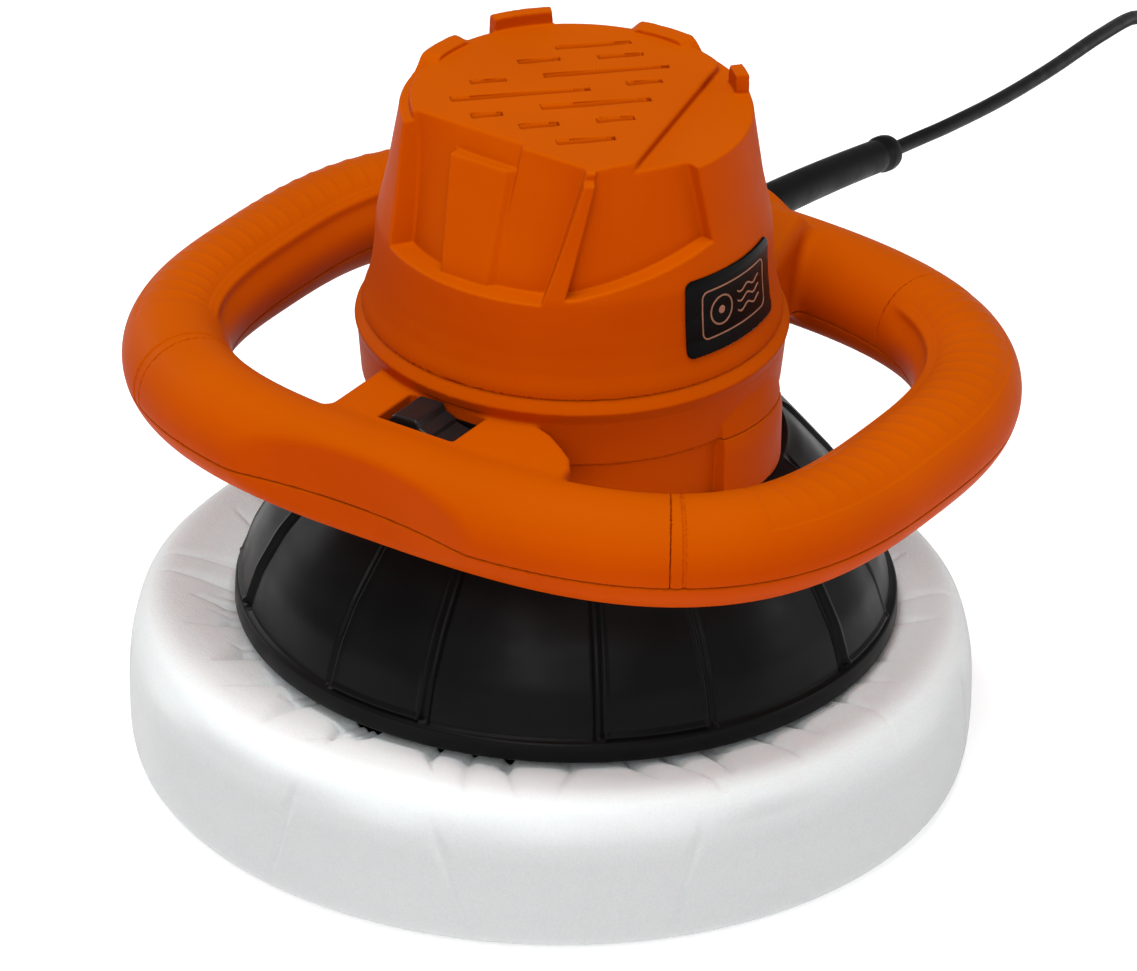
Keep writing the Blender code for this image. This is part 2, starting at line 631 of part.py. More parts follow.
# ---- motor, fixed pieces ----
def make_bearing_plate():
    """Alloy plate across the lower housing that seats the lower bearing."""
    hub = [(0, PLATE_Z), (0.0577, PLATE_Z), (0.0577, PLATE_Z + 0.0035), (0.0150, PLATE_Z + 0.0035),
           (0.0150, PLATE_Z + 0.0080), (0, PLATE_Z + 0.0080)]
    plate = lathe("lower_bearing_plate", hub, ALLOY, 36)
    cut(plate,
        disc("seat", 0.01105, PLATE_Z - 0.01, PLATE_Z + 0.0062),
        disc("shaft_hole", 0.0070, PLATE_Z - 0.01, PLATE_Z + 0.02, None, 24),
        *[lathe("air_slot", [(0.024, 0.09), (0.045, 0.09), (0.045, 0.12), (0.024, 0.12)],
                None, 18, arc=(a + 14, a + 76)) for a in (0, 90, 180, 270)],
        *[disc("hole", 0.0017, 0.09, 0.12, None, 8, place) for place in flange_screw_places()],
        *[disc("bolt_hole", 0.0023, 0.09, 0.12, None, 12, (x, 0)) for x in (-BOLT_X, BOLT_X)])
    disc("lower_bearing", 0.0110, PLATE_Z - 0.0008, PLATE_Z + 0.0058, STEEL, bore=0.00508)
    return plate


def make_stator():
    """Laminated field core with its two windings."""
    low, high = STATOR_Z
    core = disc("stator_core", STATOR_R, low, high, IRON, 48, bore=0.0243)
    cut(core, *[disc("bolt_hole", 0.0023, low - 0.01, high + 0.01, None, 12, (x, 0))
                for x in (-BOLT_X, BOLT_X)])
    pocket = [(0.0200, low - 0.01), (0.0392, low - 0.01), (0.0392, high + 0.01),
              (0.0200, high + 0.01)]
    for middle in (90, 270):
        cut(core, lathe("pocket", pocket, None, 72, arc=(middle - 44, middle + 44)))
    coil = [(0.0265, low - 0.0045), (0.0386, low - 0.0045), (0.0386, high + 0.0060),
            (0.0265, high + 0.0060)]
    for name, middle in (("field_coil_front", 270), ("field_coil_rear", 90)):
        lathe(name, coil, COPPER, 72, arc=(middle - 40, middle + 40))
    return core


def make_upper_plate():
    """Plate over the motor with the upper bearing, hung on two long bolts."""
    low = UPPER_PLATE_Z
    profile = [(0, low), (0.0440, low), (0.0440, low + 0.0035), (0.0130, low + 0.0035),
               (0.0130, low + 0.0115), (0, low + 0.0115)]
    plate = lathe("upper_bearing_plate", profile, ALLOY, 36)
    cut(plate,
        disc("seat", 0.00955, low + 0.0040, low + 0.02),
        disc("shaft_hole", 0.0060, low - 0.01, low + 0.02, None, 24),
        *[lathe("air_slot", [(0.019, 0.18), (0.036, 0.18), (0.036, 0.21), (0.019, 0.21)],
                None, 24, arc=(a + 20, a + 70)) for a in (0, 90, 180, 270)],
        *[disc("bolt_hole", 0.0023, low - 0.01, low + 0.02, None, 12, (x, 0))
          for x in (-BOLT_X, BOLT_X)])
    disc("upper_bearing", 0.0095, low + 0.0043, low + 0.0108, STEEL, bore=0.00408)
    for name, x in (("motor_bolt_left", -BOLT_X), ("motor_bolt_right", BOLT_X)):
        top = low + 0.0038
        profile = [(0, PLATE_Z - 0.003), (0.0019, PLATE_Z - 0.003), (0.0019, top), (0.0031, top),
                   (0.0031, top + 0.0022), (0, top + 0.0022)]
        lathe(name, profile, STEEL, 12, (x, 0))
    return plate


def make_brushes():
    """Brass holders with carbon brushes on the commutator and the springs behind them."""
    for name, side in (("front", -1), ("rear", 1)):
        holder = box(f"brush_holder_{name}", (0, side * 0.0270, BRUSH_Z),
                     (0.0052, 0.0110, 0.0057), BRASS)
        cut(holder, box("well", (0, side * 0.0230, BRUSH_Z), (0.0037, 0.0132, 0.0042)))
        box(f"brush_{name}", (0, side * 0.0190, BRUSH_Z), (0.0034, 0.0062, 0.0039), CARBON)
        make_brush_spring(f"brush_spring_{name}", side)


def make_brush_spring(name, side):
    """A short coil spring, drawn as a tube along its helix."""
    turns = 3
    points = []
    for i in range(turns * 8 + 1):
        a = 2 * pi * i / 8
        along = 0.0260 + 0.0090 * i / (turns * 8)
        points.append((0.0024 * cos(a), side * along, BRUSH_Z + 0.0024 * sin(a)))
    return tube(name, points, 0.00035, STEEL, resolution=0, step=0.0016)


# ---- rotor ----
def make_rotor(axis):
    """Everything that turns with the motor shaft."""
    shaft = [(0, 0.0728), (SHAFT_R, 0.0728), (SHAFT_R, 0.1985), (0.0040, 0.1985),
             (0.0040, 0.2090), (0, 0.2090)]
    lathe("armature_shaft", shaft, STEEL, 24, parent=axis)
    low, high = STATOR_Z
    core = disc("armature_core", 0.0236, low + 0.001, high - 0.001, IRON, 48,
                bore=SHAFT_R + 0.00008, parent=axis)
    slots = []
    for i in range(12):
        a = 2 * pi * i / 12
        slot = box("slot", (0.0215, 0, (low + high) / 2), (0.0045, 0.0008, 0.05))
        slot.rotation_euler.z = a
        slots.append(slot)
    cut(core, *slots)
    end = [(0.0085, 0.0), (0.0200, 0.0), (0.0215, 0.0040), (0.0190, 0.0080), (0.0110, 0.0080)]
    lathe("winding_upper", [(r, high + v) for r, v in end], COPPER, 24, parent=axis)
    lathe("winding_lower", [(r, low - v * 0.7) for r, v in end], COPPER, 24, parent=axis)
    disc("commutator", 0.0125, 0.1830, 0.1955, COPPER, bore=SHAFT_R + 0.00008, parent=axis)
    make_fan(axis)
    make_counterweight(axis)


def make_fan(axis):
    """Cooling fan: hub and backplate with nine blades."""
    low = 0.1135
    bore = SHAFT_R + 0.00008
    profile = [(bore, low), (0.0374, low), (0.0374, low + 0.0015), (0.0090, low + 0.0015),
               (0.0090, low + 0.0070), (bore, low + 0.0070)]
    fan = lathe("cooling_fan", profile, BLACK, 36, parent=axis)
    blades = []
    for i in range(9):
        blade = box("blade", (0.0225, 0, low + 0.0035), (0.0142, 0.0007, 0.0030))
        blade.rotation_euler.z = 2 * pi * i / 9
        blades.append(blade)
    return join(fan, *blades)


def make_counterweight(axis):
    """Off-centre bearing pocket with a balance weight on the other side of the shaft."""
    low, high = 0.0605, 0.0830
    pocket = disc("counterweight", 0.0205, low, high, IRON, 40, (PAD_X, PAD_Y), parent=axis)
    weight = [(0.0, low + 0.0130), (0.0430, low + 0.0130), (0.0430, high), (0.0, high)]
    away = CRANK_ANGLE * 180 / pi - 180
    join(pocket, lathe("weight", weight, None, 60, arc=(away - 60, away + 60)))
    cut(pocket,
        disc("seat", 0.0161, low - 0.01, low + 0.0108, None, 40, (PAD_X, PAD_Y)),
        disc("shaft_hole", SHAFT_R + 0.00008, low + 0.0118, high + 0.01, None, 24))
    disc("pad_bearing", 0.0160, low + 0.0005, low + 0.0098, STEEL, 40, (PAD_X, PAD_Y),
         bore=0.00620, parent=axis)
    return pocket


# ---- pad ----
def make_pad(axis):
    """Backing plate, foam, bonnet and the spindle that carries them, on the pad's own axis."""
    spindle = [(0, 0.0505), (0.0100, 0.0505), (0.0100, 0.0596), (0.0061, 0.0596),
               (0.0061, 0.0706), (0, 0.0706)]
    body = lathe("pad_spindle", spindle, STEEL, 40, parent=axis)
    cut(body, disc("thread_hole", 0.0034, 0.045, 0.0640, None, 16, (PAD_X, PAD_Y)))
    bolt = [(0, 0.0372), (0.0060, 0.0372), (0.0060, 0.0402), (0.0030, 0.0402), (0.0030, 0.0625),
            (0, 0.0625)]
    lathe("pad_bolt", bolt, STEEL, 16, parent=axis)
    plate = [(0.0034, 0.0363), (0.1120, 0.0363), (0.1130, 0.0380), (0.1110, 0.0410),
             (0.0300, 0.0425), (0.0160, 0.0460), (0.0160, 0.0502), (0.0034, 0.0502)]
    backing = lathe("backing_plate", plate, BLACK, 40, parent=axis)
    cut(backing, disc("head_room", 0.0068, 0.030, 0.0408, None, 20, (PAD_X, PAD_Y)))
    foam = [(0, 0.0030), (0.1190, 0.0030), (0.1246, 0.0060), (0.1276, 0.0130), (0.1276, 0.0360),
            (0, 0.0360)]
    lathe("foam_pad", foam, FOAM, 42, parent=axis)
    make_bonnet(axis)


def make_bonnet(axis):
    """Cloth cover over the pad, gathered in under the shroud by the cord in its hem."""
    outer = [(0, 0), (0.1210, 0.0), (0.1275, 0.0030), (0.1305, 0.0100), (BONNET_R, 0.0220),
             (BONNET_R, 0.0380), (0.1290, 0.0460), (0.1240, 0.0510), (0.1180, 0.0530),
             (0.1075, 0.0497), (0.0925, 0.0462)]
    inner = [(0.0925, 0.0436), (0.1080, 0.0468), (0.1180, 0.0501), (0.1225, 0.0486),
             (0.1262, 0.0445), (0.1281, 0.0375), (0.1281, 0.0110), (0.1250, 0.0055),
             (0.1192, 0.0027), (0, 0.0027)]
    lathe("bonnet", outer + inner, CLOTH, 42, parent=axis)
    ring = [(0.0905 + 0.0012 * cos(a), 0.0452 + 0.0012 * sin(a))
            for a in [2 * pi * k / 6 for k in range(6)]]
    lathe("bonnet_elastic", ring, CLOTH, 36, parent=axis)


def make_axis(name, x, y):
    """An empty on a turning axis, the parent of what turns about it."""
    axis = bpy.data.objects.new(name, None)
    bpy.context.collection.objects.link(axis)
    axis.location = (x, y, 0)
    return axis


def main():
    clear_scene()
    places = handle_screw_places()
    make_upper_housing()
    make_lower_housing()
    slack = 0.15
    make_grip_cover("grip_cover_right", (-SEAM_ANGLE + slack, REAR_SEAM_ANGLE - slack), places[:2])
    make_grip_cover("grip_cover_left", (180 - REAR_SEAM_ANGLE + slack, 180 + SEAM_ANGLE - slack),
                    places[2:])
    make_top_cover()
    make_nameplate()
    make_shroud()
    make_screws()
    make_switch()
    make_cord_guard()
    make_cord()
    make_bearing_plate()
    make_stator()
    make_upper_plate()
    make_brushes()
    make_rotor(make_axis("rotor_axis", 0, 0))
    make_pad(make_axis("pad_axis", PAD_X, PAD_Y))


main()
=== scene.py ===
"""The looks of a hand-held car polisher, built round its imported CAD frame.

The moulded shells are drawn as fields: a function of x, y and z in millimetres that is
negative inside the piece. Everything else is turned, swept or laid out point by point.
"""
import json
from math import atan2, cos, hypot, pi, radians, sin, sqrt

import bpy
import numpy as np
from mathutils import Matrix, Vector


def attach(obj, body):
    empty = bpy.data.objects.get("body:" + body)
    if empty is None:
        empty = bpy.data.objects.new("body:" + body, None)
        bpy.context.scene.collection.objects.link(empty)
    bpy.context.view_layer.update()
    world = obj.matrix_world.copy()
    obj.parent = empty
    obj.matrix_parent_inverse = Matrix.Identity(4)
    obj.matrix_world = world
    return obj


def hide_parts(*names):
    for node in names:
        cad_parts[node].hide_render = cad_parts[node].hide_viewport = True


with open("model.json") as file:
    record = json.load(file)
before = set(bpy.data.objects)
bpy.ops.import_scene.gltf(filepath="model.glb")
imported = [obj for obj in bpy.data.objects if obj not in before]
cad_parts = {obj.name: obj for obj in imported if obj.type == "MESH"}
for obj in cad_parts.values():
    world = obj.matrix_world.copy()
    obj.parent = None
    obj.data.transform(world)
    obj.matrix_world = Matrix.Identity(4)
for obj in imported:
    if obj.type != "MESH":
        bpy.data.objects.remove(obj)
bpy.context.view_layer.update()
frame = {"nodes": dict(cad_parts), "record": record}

MM = 0.001
HOUSING = "housing"
PAD = "pad"

# ---- sizes repeated from the CAD, in millimetres ----
HANDLE_HALF_X = 118.5
HANDLE_HALF_Y = 96.0
HANDLE_POWER = 2.87
HANDLE_Z = 132.0
HANDLE_R = 17.0
FRONT_SEAM = radians(42)
REAR_SEAM = radians(50)
COVER_Z = 155.2
PLATFORM_Z = 147.0
PLATFORM_BASE_Z = 119.7
BRIDGE_Z = 156.2
BRIDGE_BASE_Z = 126.5
WINDOW = (-1.5, -74.5)
HALF_WINDOW = (13.7, 9.0)
SHELF_Z = 222.5
PLATEAU_Z = 225.5
CORD_EXIT_Z = 141.0
PIN_Z = 140.5
SEAM_GAP = 0.30
FINE_GAP = 0.10                 # between shells that meet end to end

# The free cord's route in metres, as in the CAD, from inside the guard to the coil's side.
CORD_ROUTE = [
    (0.0007, 0.1800, 0.1311), (0.0009, 0.1866, 0.1300), (0.0008, 0.2050, 0.1270),
    (0.0005, 0.2228, 0.1240), (-0.0027, 0.2599, 0.1170), (-0.0097, 0.3042, 0.1080),
    (-0.0211, 0.3581, 0.0960), (-0.0294, 0.3963, 0.0850), (-0.0360, 0.4210, 0.0680),
    (-0.0410, 0.4380, 0.0450), (-0.0450, 0.4520, 0.0225), (-0.0478, 0.4670, 0.0085),
    (-0.0495, 0.4820, 0.0044), (-0.0498, 0.4950, 0.0042),
]
TAIL_ROUTE = [
    (0.0337, 0.5160, 0.0042), (0.0337, 0.5040, 0.0042), (0.0337, 0.4930, 0.0048),
    (0.0337, 0.4820, 0.0085), (0.0337, 0.4745, 0.0095), (0.0337, 0.4696, 0.0095),
]
GUARD_ROUTE = [
    (0.0000, 0.1083, 0.1410), (0.0000, 0.1186, 0.1408), (0.0005, 0.1512, 0.1362),
    (0.0009, 0.1866, 0.1300),
]
TAIL_JOINT = 2                  # where the coil's last turn meets the tail's route
CORD_D = 0.0048
COIL_CENTRE = (-0.0080, 0.4950)
COIL_PITCH = 0.0050
COIL_OUTER_R = 0.0363
COIL_ROWS = [(0, 1, 2, 3), (3, 2, 1, 0), (0, 1, 2), (2, 1, 0)]   # turns from outside to inside


# ---- meshes ----
def add_mesh(name, points, quads, finish, normals=None, scale=MM):
    """A smooth-shaded object from arrays of points and of four-cornered faces."""
    mesh = bpy.data.meshes.new(name)
    points = np.asarray(points, dtype=np.float32) * scale
    quads = np.asarray(quads, dtype=np.int32)
    mesh.vertices.add(len(points))
    mesh.vertices.foreach_set("co", points.ravel())
    mesh.loops.add(quads.size)
    mesh.loops.foreach_set("vertex_index", quads.ravel())
    mesh.polygons.add(len(quads))
    mesh.polygons.foreach_set("loop_start", np.arange(0, quads.size, 4, dtype=np.int32))
    mesh.polygons.foreach_set("loop_total", np.full(len(quads), 4, dtype=np.int32))
    mesh.update(calc_edges=True)
    mesh.validate()
    mesh.shade_smooth()
    if normals is not None and len(mesh.vertices) == len(normals):
        mesh.normals_split_custom_set_from_vertices(normals)
    body = bpy.data.objects.new(name, mesh)
    bpy.context.collection.objects.link(body)
    mesh.materials.append(finish)
    return body


def grid_quads(rows, columns, wrap_rows=False, wrap_columns=False):
    """Faces of a grid of points that is stored row after row."""
    i = np.arange(rows if wrap_rows else rows - 1)
    j = np.arange(columns if wrap_columns else columns - 1)
    i, j = np.meshgrid(i, j, indexing="ij")
    i2, j2 = (i + 1) % rows, (j + 1) % columns
    corners = [i * columns + j, i2 * columns + j, i2 * columns + j2, i * columns + j2]
    return np.stack([c.ravel() for c in corners], axis=1)


CORNERS = [(i, j, k) for i in (0, 1) for j in (0, 1) for k in (0, 1)]
EDGES = [(a, b) for a in CORNERS for b in CORNERS
         if sum(b) - sum(a) == 1 and all(q >= p for p, q in zip(a, b))]


def sample(field, low, step, blocks, size):
    """The field on a grid of blocks, worked out in full only where its surface may pass."""
    centre = [low[d] + step * (size * np.arange(blocks[d]) + (size - 1) / 2) for d in range(3)]
    coarse = field(*[c.ravel() for c in np.meshgrid(*centre, indexing="ij")])
    coarse = coarse.reshape(blocks)
    values = np.repeat(np.repeat(np.repeat(coarse, size, 0), size, 1), size, 2)
    values = values.astype(np.float32)
    half_diagonal = step * size * sqrt(3) / 2
    reach = half_diagonal * 1.3 + 1.0       # a margin, as fields aren't true distances
    near = np.argwhere(np.abs(coarse) < reach)
    inner = np.stack(np.meshgrid(*[np.arange(size)] * 3, indexing="ij"), -1).reshape(-1, 3)
    batch = 1500
    for first in range(0, len(near), batch):
        place = (near[first:first + batch, None, :] * size + inner[None]).reshape(-1, 3)
        point = low + step * place
        values[place[:, 0], place[:, 1], place[:, 2]] = field(*point.T)
    return values


def slope(field, points, reach=0.05):
    """Value and gradient of a field at points."""
    value = field(*points.T)
    steps = []
    for d in range(3):
        ahead = points.copy()
        ahead[:, d] += reach
        steps.append((field(*ahead.T) - value) / reach)
    return value, np.stack(steps, axis=1)


def solid(name, field, low, high, step, finish):
    """The closed surface where a field is zero, as a mesh of even quads."""
    size = 8
    low = np.array(low, dtype=float)
    blocks = [int(np.ceil((b - a) / (step * size))) + 1 for a, b in zip(low, high)]
    values = sample(field, low, step, blocks, size)
    inside = values < 0
    n = np.array(values.shape) - 1
    count = sum(inside[i:i + n[0], j:j + n[1], k:k + n[2]].astype(np.int8) for i, j, k in CORNERS)
    cells = np.argwhere((count > 0) & (count < 8))
    index = np.full(n, -1, dtype=np.int32)
    index[tuple(cells.T)] = np.arange(len(cells), dtype=np.int32)
    total = np.zeros((len(cells), 3))
    hits = np.zeros(len(cells))
    for a, b in EDGES:
        at_a = values[tuple((cells + a).T)]
        at_b = values[tuple((cells + b).T)]
        crossed = (at_a < 0) != (at_b < 0)
        part = np.where(crossed, at_a / np.where(crossed, at_a - at_b, 1), 0)
        total += np.where(crossed[:, None], np.array(a) + np.outer(part, np.subtract(b, a)), 0)
        hits += crossed
    points = low + step * (cells + total / hits[:, None])
    faces = []
    for d in range(3):
        e, f = [(1, 2), (2, 0), (0, 1)][d]
        first = [slice(1, n[i]) if i != d else slice(0, n[i]) for i in range(3)]
        second = [slice(1, n[i]) if i != d else slice(1, n[i] + 1) for i in range(3)]
        a, b = inside[tuple(first)], inside[tuple(second)]
        for starts, flip in ((a & ~b, False), (~a & b, True)):
            corner = np.argwhere(starts)
            corner[:, e] += 1
            corner[:, f] += 1
            ring = []
            for u, v in ((0, 0), (-1, 0), (-1, -1), (0, -1)):
                cell = corner.copy()
                cell[:, e] += u
                cell[:, f] += v
                ring.append(index[tuple(cell.T)])
            faces.append(np.stack(ring[::-1] if flip else ring, axis=1))
    for _ in range(3):
        value, gradient = slope(field, points)
        length = np.maximum((gradient ** 2).sum(axis=1), 0.2)
        move = gradient * (value / length)[:, None]
        points -= np.clip(move, -0.4 * step, 0.4 * step)
    _, gradient = slope(field, points)
    normals = gradient / np.maximum(np.linalg.norm(gradient, axis=1), 1e-6)[:, None]
    return add_mesh(name, points, np.concatenate(faces), finish, normals)


# ---- fields ----
def wrapped(angle):
    """An angle brought between minus and plus half a turn."""
    return (angle + pi) % (2 * pi) - pi


def blend_min(a, b, k):
    """Union of two fields with a fillet of about k."""
    h = np.clip(0.5 + 0.5 * (b - a) / k, 0, 1)
    return b + (a - b) * h - k * h * (1 - h)


def blend_max(a, b, k):
    """Intersection of two fields with an edge rounded by about k."""
    return -blend_min(-a, -b, k)


def carve(a, tool, k=0.8):
    """The field a with a tool taken away."""
    return blend_max(a, -tool, k)


def fade(value, start, end):
    """0 before start, 1 after end, with a smooth rise between."""
    t = np.clip((value - start) / (end - start), 0, 1)
    return t * t * (3 - 2 * t)


def slab(value, low, high):
    """Signed distance to the space between two values."""
    return np.maximum(low - value, value - high)


def outline_field(x, y, outline):
    """Signed distance to a closed outline of (x, y) corners."""
    nearest = np.full_like(x, 1e9)
    turn = np.ones_like(x)
    before = outline[-1]
    for corner in outline:
        ex, ey = before[0] - corner[0], before[1] - corner[1]
        wx, wy = x - corner[0], y - corner[1]
        t = np.clip((wx * ex + wy * ey) / (ex * ex + ey * ey), 0, 1)
        nearest = np.minimum(nearest, (wx - ex * t) ** 2 + (wy - ey * t) ** 2)
        above, below, left = y >= corner[1], y < before[1], ex * wy > ey * wx
        turn = np.where((above & below & left) | (~above & ~below & ~left), -turn, turn)
        before = corner
    return turn * np.sqrt(nearest)


def turned(x, y, z, profile):
    """Field of a turned side, from (height, radius) pairs: radial distance to it."""
    heights, radii = zip(*profile)
    radius = np.interp(z, heights, radii)
    lean = (np.interp(z + 0.5, heights, radii) - np.interp(z - 0.5, heights, radii))
    return (np.hypot(x, y) - radius) / np.sqrt(1 + lean * lean)


def rounded_profile(profile, reach):
    """The pairs resampled every half millimetre, with corners eased over a reach."""
    heights, radii = zip(*profile)
    fine = np.arange(heights[0], heights[-1] + 0.25, 0.5)
    spread = np.arange(-reach, reach + 0.01, 0.25)
    weight = reach + 0.25 - np.abs(spread)
    eased = sum(w * np.interp(fine + s, heights, radii) for s, w in zip(spread, weight))
    return list(zip(fine, eased / weight.sum()))


def loop_reach(angle):
    """Distance of the handle's centreline from the motor axis."""
    return ((np.abs(np.cos(angle)) / HANDLE_HALF_X) ** HANDLE_POWER
            + (np.abs(np.sin(angle)) / HANDLE_HALF_Y) ** HANDLE_POWER) ** (-1 / HANDLE_POWER)


LOOP_ANGLE = np.linspace(-pi, pi, 1441)
LOOP_X = loop_reach(LOOP_ANGLE) * np.cos(LOOP_ANGLE)
LOOP_Y = loop_reach(LOOP_ANGLE) * np.sin(LOOP_ANGLE)
LOOP_RUN = np.concatenate([[0], np.cumsum(np.hypot(np.diff(LOOP_X), np.diff(LOOP_Y)))])
LOOP_TX = np.gradient(LOOP_X, LOOP_ANGLE)
LOOP_TY = np.gradient(LOOP_Y, LOOP_ANGLE)


def along_loop(x, y):
    """Where points lie by the handle: distance outward from its centreline, and angle."""
    angle = np.arctan2(y, x)
    for _ in range(3):
        cx, cy = np.interp(angle, LOOP_ANGLE, LOOP_X), np.interp(angle, LOOP_ANGLE, LOOP_Y)
        tx, ty = np.interp(angle, LOOP_ANGLE, LOOP_TX), np.interp(angle, LOOP_ANGLE, LOOP_TY)
        turn = ((x - cx) * tx + (y - cy) * ty) / (tx * tx + ty * ty)
        angle = wrapped(angle + np.clip(turn, -0.2, 0.2))
    cx, cy = np.interp(angle, LOOP_ANGLE, LOOP_X), np.interp(angle, LOOP_ANGLE, LOOP_Y)
    tx, ty = np.interp(angle, LOOP_ANGLE, LOOP_TX), np.interp(angle, LOOP_ANGLE, LOOP_TY)
    outward = ((x - cx) * ty - (y - cy) * tx) / np.sqrt(tx * tx + ty * ty)
    return outward, angle


def run_at(angle):
    """Length along the handle up to an angle."""
    return np.interp(angle, LOOP_ANGLE, LOOP_RUN)


def mirrored_run(angle):
    """Length along the handle to an angle, counted on the left as on the right."""
    return run_at(wrapped(np.where(np.cos(angle) < 0, pi - angle, angle)))


RIB_PITCH = 6.5
RIB_HEIGHT = 0.24
RIB_SLANT = 0.22
PANEL_SINK = 0.30               # how far the ribbed panels lie under the handle's skin
BEAD_ANGLE, BEAD_HEIGHT = radians(137), 0.75
HOLLOW_ANGLE, HOLLOW_DEPTH = radians(150), 0.8
SCOOP_R = 195.0                 # the hollow along the front of the handle
SCOOP_CENTRE = (-12.0, -301.0)
PANEL_LOW, PANEL_HIGH = radians(40), radians(128)
RIB_START, RIB_END = radians(-30), radians(46)


def handle_field(x, y, z):
    """The handle loop with its ribbed panels, a bead beside them and a scoop in front."""
    outward, angle = along_loop(x, y)
    section = np.arctan2(z - HANDLE_Z, outward)
    ring = np.hypot(outward, z - HANDLE_Z) - HANDLE_R
    run = mirrored_run(angle) - run_at(RIB_START)
    length = run_at(RIB_END) - run_at(RIB_START)
    across = np.minimum(section - PANEL_LOW, PANEL_HIGH - section) * HANDLE_R
    within = np.minimum(np.minimum(run, length - run), across)
    slanted = run + RIB_SLANT * (section - pi / 2) * HANDLE_R
    wave = 0.5 + 0.5 * np.cos(2 * pi * slanted / RIB_PITCH)
    ribs = RIB_HEIGHT * wave ** 3 * fade(within, 1.0, 5.0) - PANEL_SINK * fade(within, -0.3, 0.9)
    on_arm = fade(np.minimum(run + 6, length + 8 - run), 0, 12)
    bead_off = (section - BEAD_ANGLE) * HANDLE_R
    bead = BEAD_HEIGHT * np.exp(-(bead_off / 1.5) ** 2) * on_arm
    hollow_off = (section - HOLLOW_ANGLE) * HANDLE_R
    hollow = HOLLOW_DEPTH * np.exp(-(hollow_off / 4.5) ** 2) * on_arm
    ring = ring - ribs - bead + hollow
    scoop = SCOOP_R - np.hypot(x - SCOOP_CENTRE[0], y - SCOOP_CENTRE[1])
    return blend_max(ring, scoop, 1.8), outward, angle


PLATFORM = [(-32.0, -100.0), (-32.0, -50.0), (20.0, -55.0), (28.0, -60.0), (34.0, -62.2),
            (41.3, -67.0), (46.5, -71.0), (49.9, -76.0), (51.2, -82.0), (51.4, -100.0)]
BRIDGE_SIDE = [(42.0, 40.0), (39.5, 52.0), (35.5, 66.0), (31.5, 80.0), (28.0, 92.0)]
BRIDGE = BRIDGE_SIDE + [(-x, y) for x, y in reversed(BRIDGE_SIDE)]
BARREL = rounded_profile([(95.0, 61.6), (118.0, 62.4), (132.2, 63.4), (132.8, 64.8),
                          (140.0, 65.5), (148.0, 66.2), (151.2, 67.2), (155.0, 64.6),
                          (162.0, 63.9), (172.0, 63.9)], 0.7)
BOSS_BASE_Z = 111.6
EXIT_BOSS_R = 9.2
BARREL_SEAM_Z, HANDLE_SEAM_Z = 132.75, 128.0
WINDOW_BASE_Z = 121.0
MOTOR_ROOM_R = 59.0
CORD_HOLE_R = 6.5
SCREW_R = 3.6
SCREW_TOP_Z = 120.0
SCREW_ANGLES = [radians(d) for d in (-28, 28, 152, 208)]
LOWER_RIM_Z = 100.0


def boss_field(x, y, z):
    """The raised pad on the barrel's right, with a leaf-shaped slanted top."""
    rho, angle = np.hypot(x, y), np.arctan2(y, x)
    off = np.clip(angle - radians(4), -0.5, 0.5)
    pad = rho - 67.0 - 1.8 * (1 - (off / radians(16)) ** 2)
    pad = blend_max(pad, wedge(x, y, -11.8, 21.0), 0.3)
    tip = 144.5 - 5.5 * (off / radians(13)) ** 2
    top = (rho - 65.7) * 0.986 + (z - tip) * 0.168
    pad = blend_max(blend_max(pad, top, 0.3), BOSS_BASE_Z - z, 0.3)
    return np.maximum(pad, 60.0 - rho)


def seam_height(outward):
    """Height of the line between upper and lower shells: it steps down on the handle."""
    return BARREL_SEAM_Z - (BARREL_SEAM_Z - HANDLE_SEAM_Z) * fade(outward, -38, -24)


def housing_field(x, y, z):
    """Barrel, handle, switch platform and rear bridge as one shape."""
    loop, outward, angle = handle_field(x, y, z)
    barrel = turned(x, y, z, BARREL)
    barrel = blend_min(barrel, boss_field(x, y, z), 0.3)
    platform = blend_max(outline_field(x, y, PLATFORM), z - PLATFORM_Z, 2.4)
    platform = np.maximum(platform, PLATFORM_BASE_Z - z)
    bridge = blend_max(outline_field(x, y, BRIDGE), z - BRIDGE_Z, 8.0)
    bridge = blend_max(bridge, BRIDGE_BASE_Z - z, 3.0)
    exit_boss = blend_max(np.hypot(x, z - CORD_EXIT_Z) - EXIT_BOSS_R, slab(y, 95, 108), 1.5)
    whole = blend_min(barrel, platform, 0.8)
    whole = blend_min(whole, loop, 2.5)
    whole = blend_min(whole, blend_min(bridge, exit_boss, 1.5), 5.0)
    return whole, outward, angle


def motor_room(x, y):
    """The barrel's hollow for the motor."""
    return np.hypot(x, y) - MOTOR_ROOM_R


def window_field(x, y, z):
    """The switch's opening through the platform."""
    wide = np.abs(x - WINDOW[0]) - HALF_WINDOW[0]
    deep = np.abs(y - WINDOW[1]) - HALF_WINDOW[1]
    return blend_max(blend_max(wide, deep, 1.2), slab(z, WINDOW_BASE_Z, PLATFORM_Z + 0.9), 0.3)


def seam_runs(angle):
    """Length along the handle from its front and its rear seam, positive on the grip covers."""
    run = mirrored_run(angle)
    return run - run_at(-FRONT_SEAM), run_at(REAR_SEAM) - run


def upper_field(x, y, z):
    """The middle moulding above the seam."""
    whole, outward, angle = housing_field(x, y, z)
    beyond = np.where(outward > -24, np.minimum(*seam_runs(angle)), -5.0)
    part = blend_max(whole, beyond + FINE_GAP / 2, 0.3)
    part = blend_max(part, seam_height(outward) + SEAM_GAP / 2 - z, 0.5)
    part = blend_max(part, z - COVER_Z + FINE_GAP / 2, 0.3)
    part = carve(part, window_field(x, y, z))
    cord_hole = np.maximum(np.hypot(x, z - CORD_EXIT_Z) - CORD_HOLE_R, 90 - y)
    return carve(carve(part, cord_hole, 0.6), motor_room(x, y), 0.4)


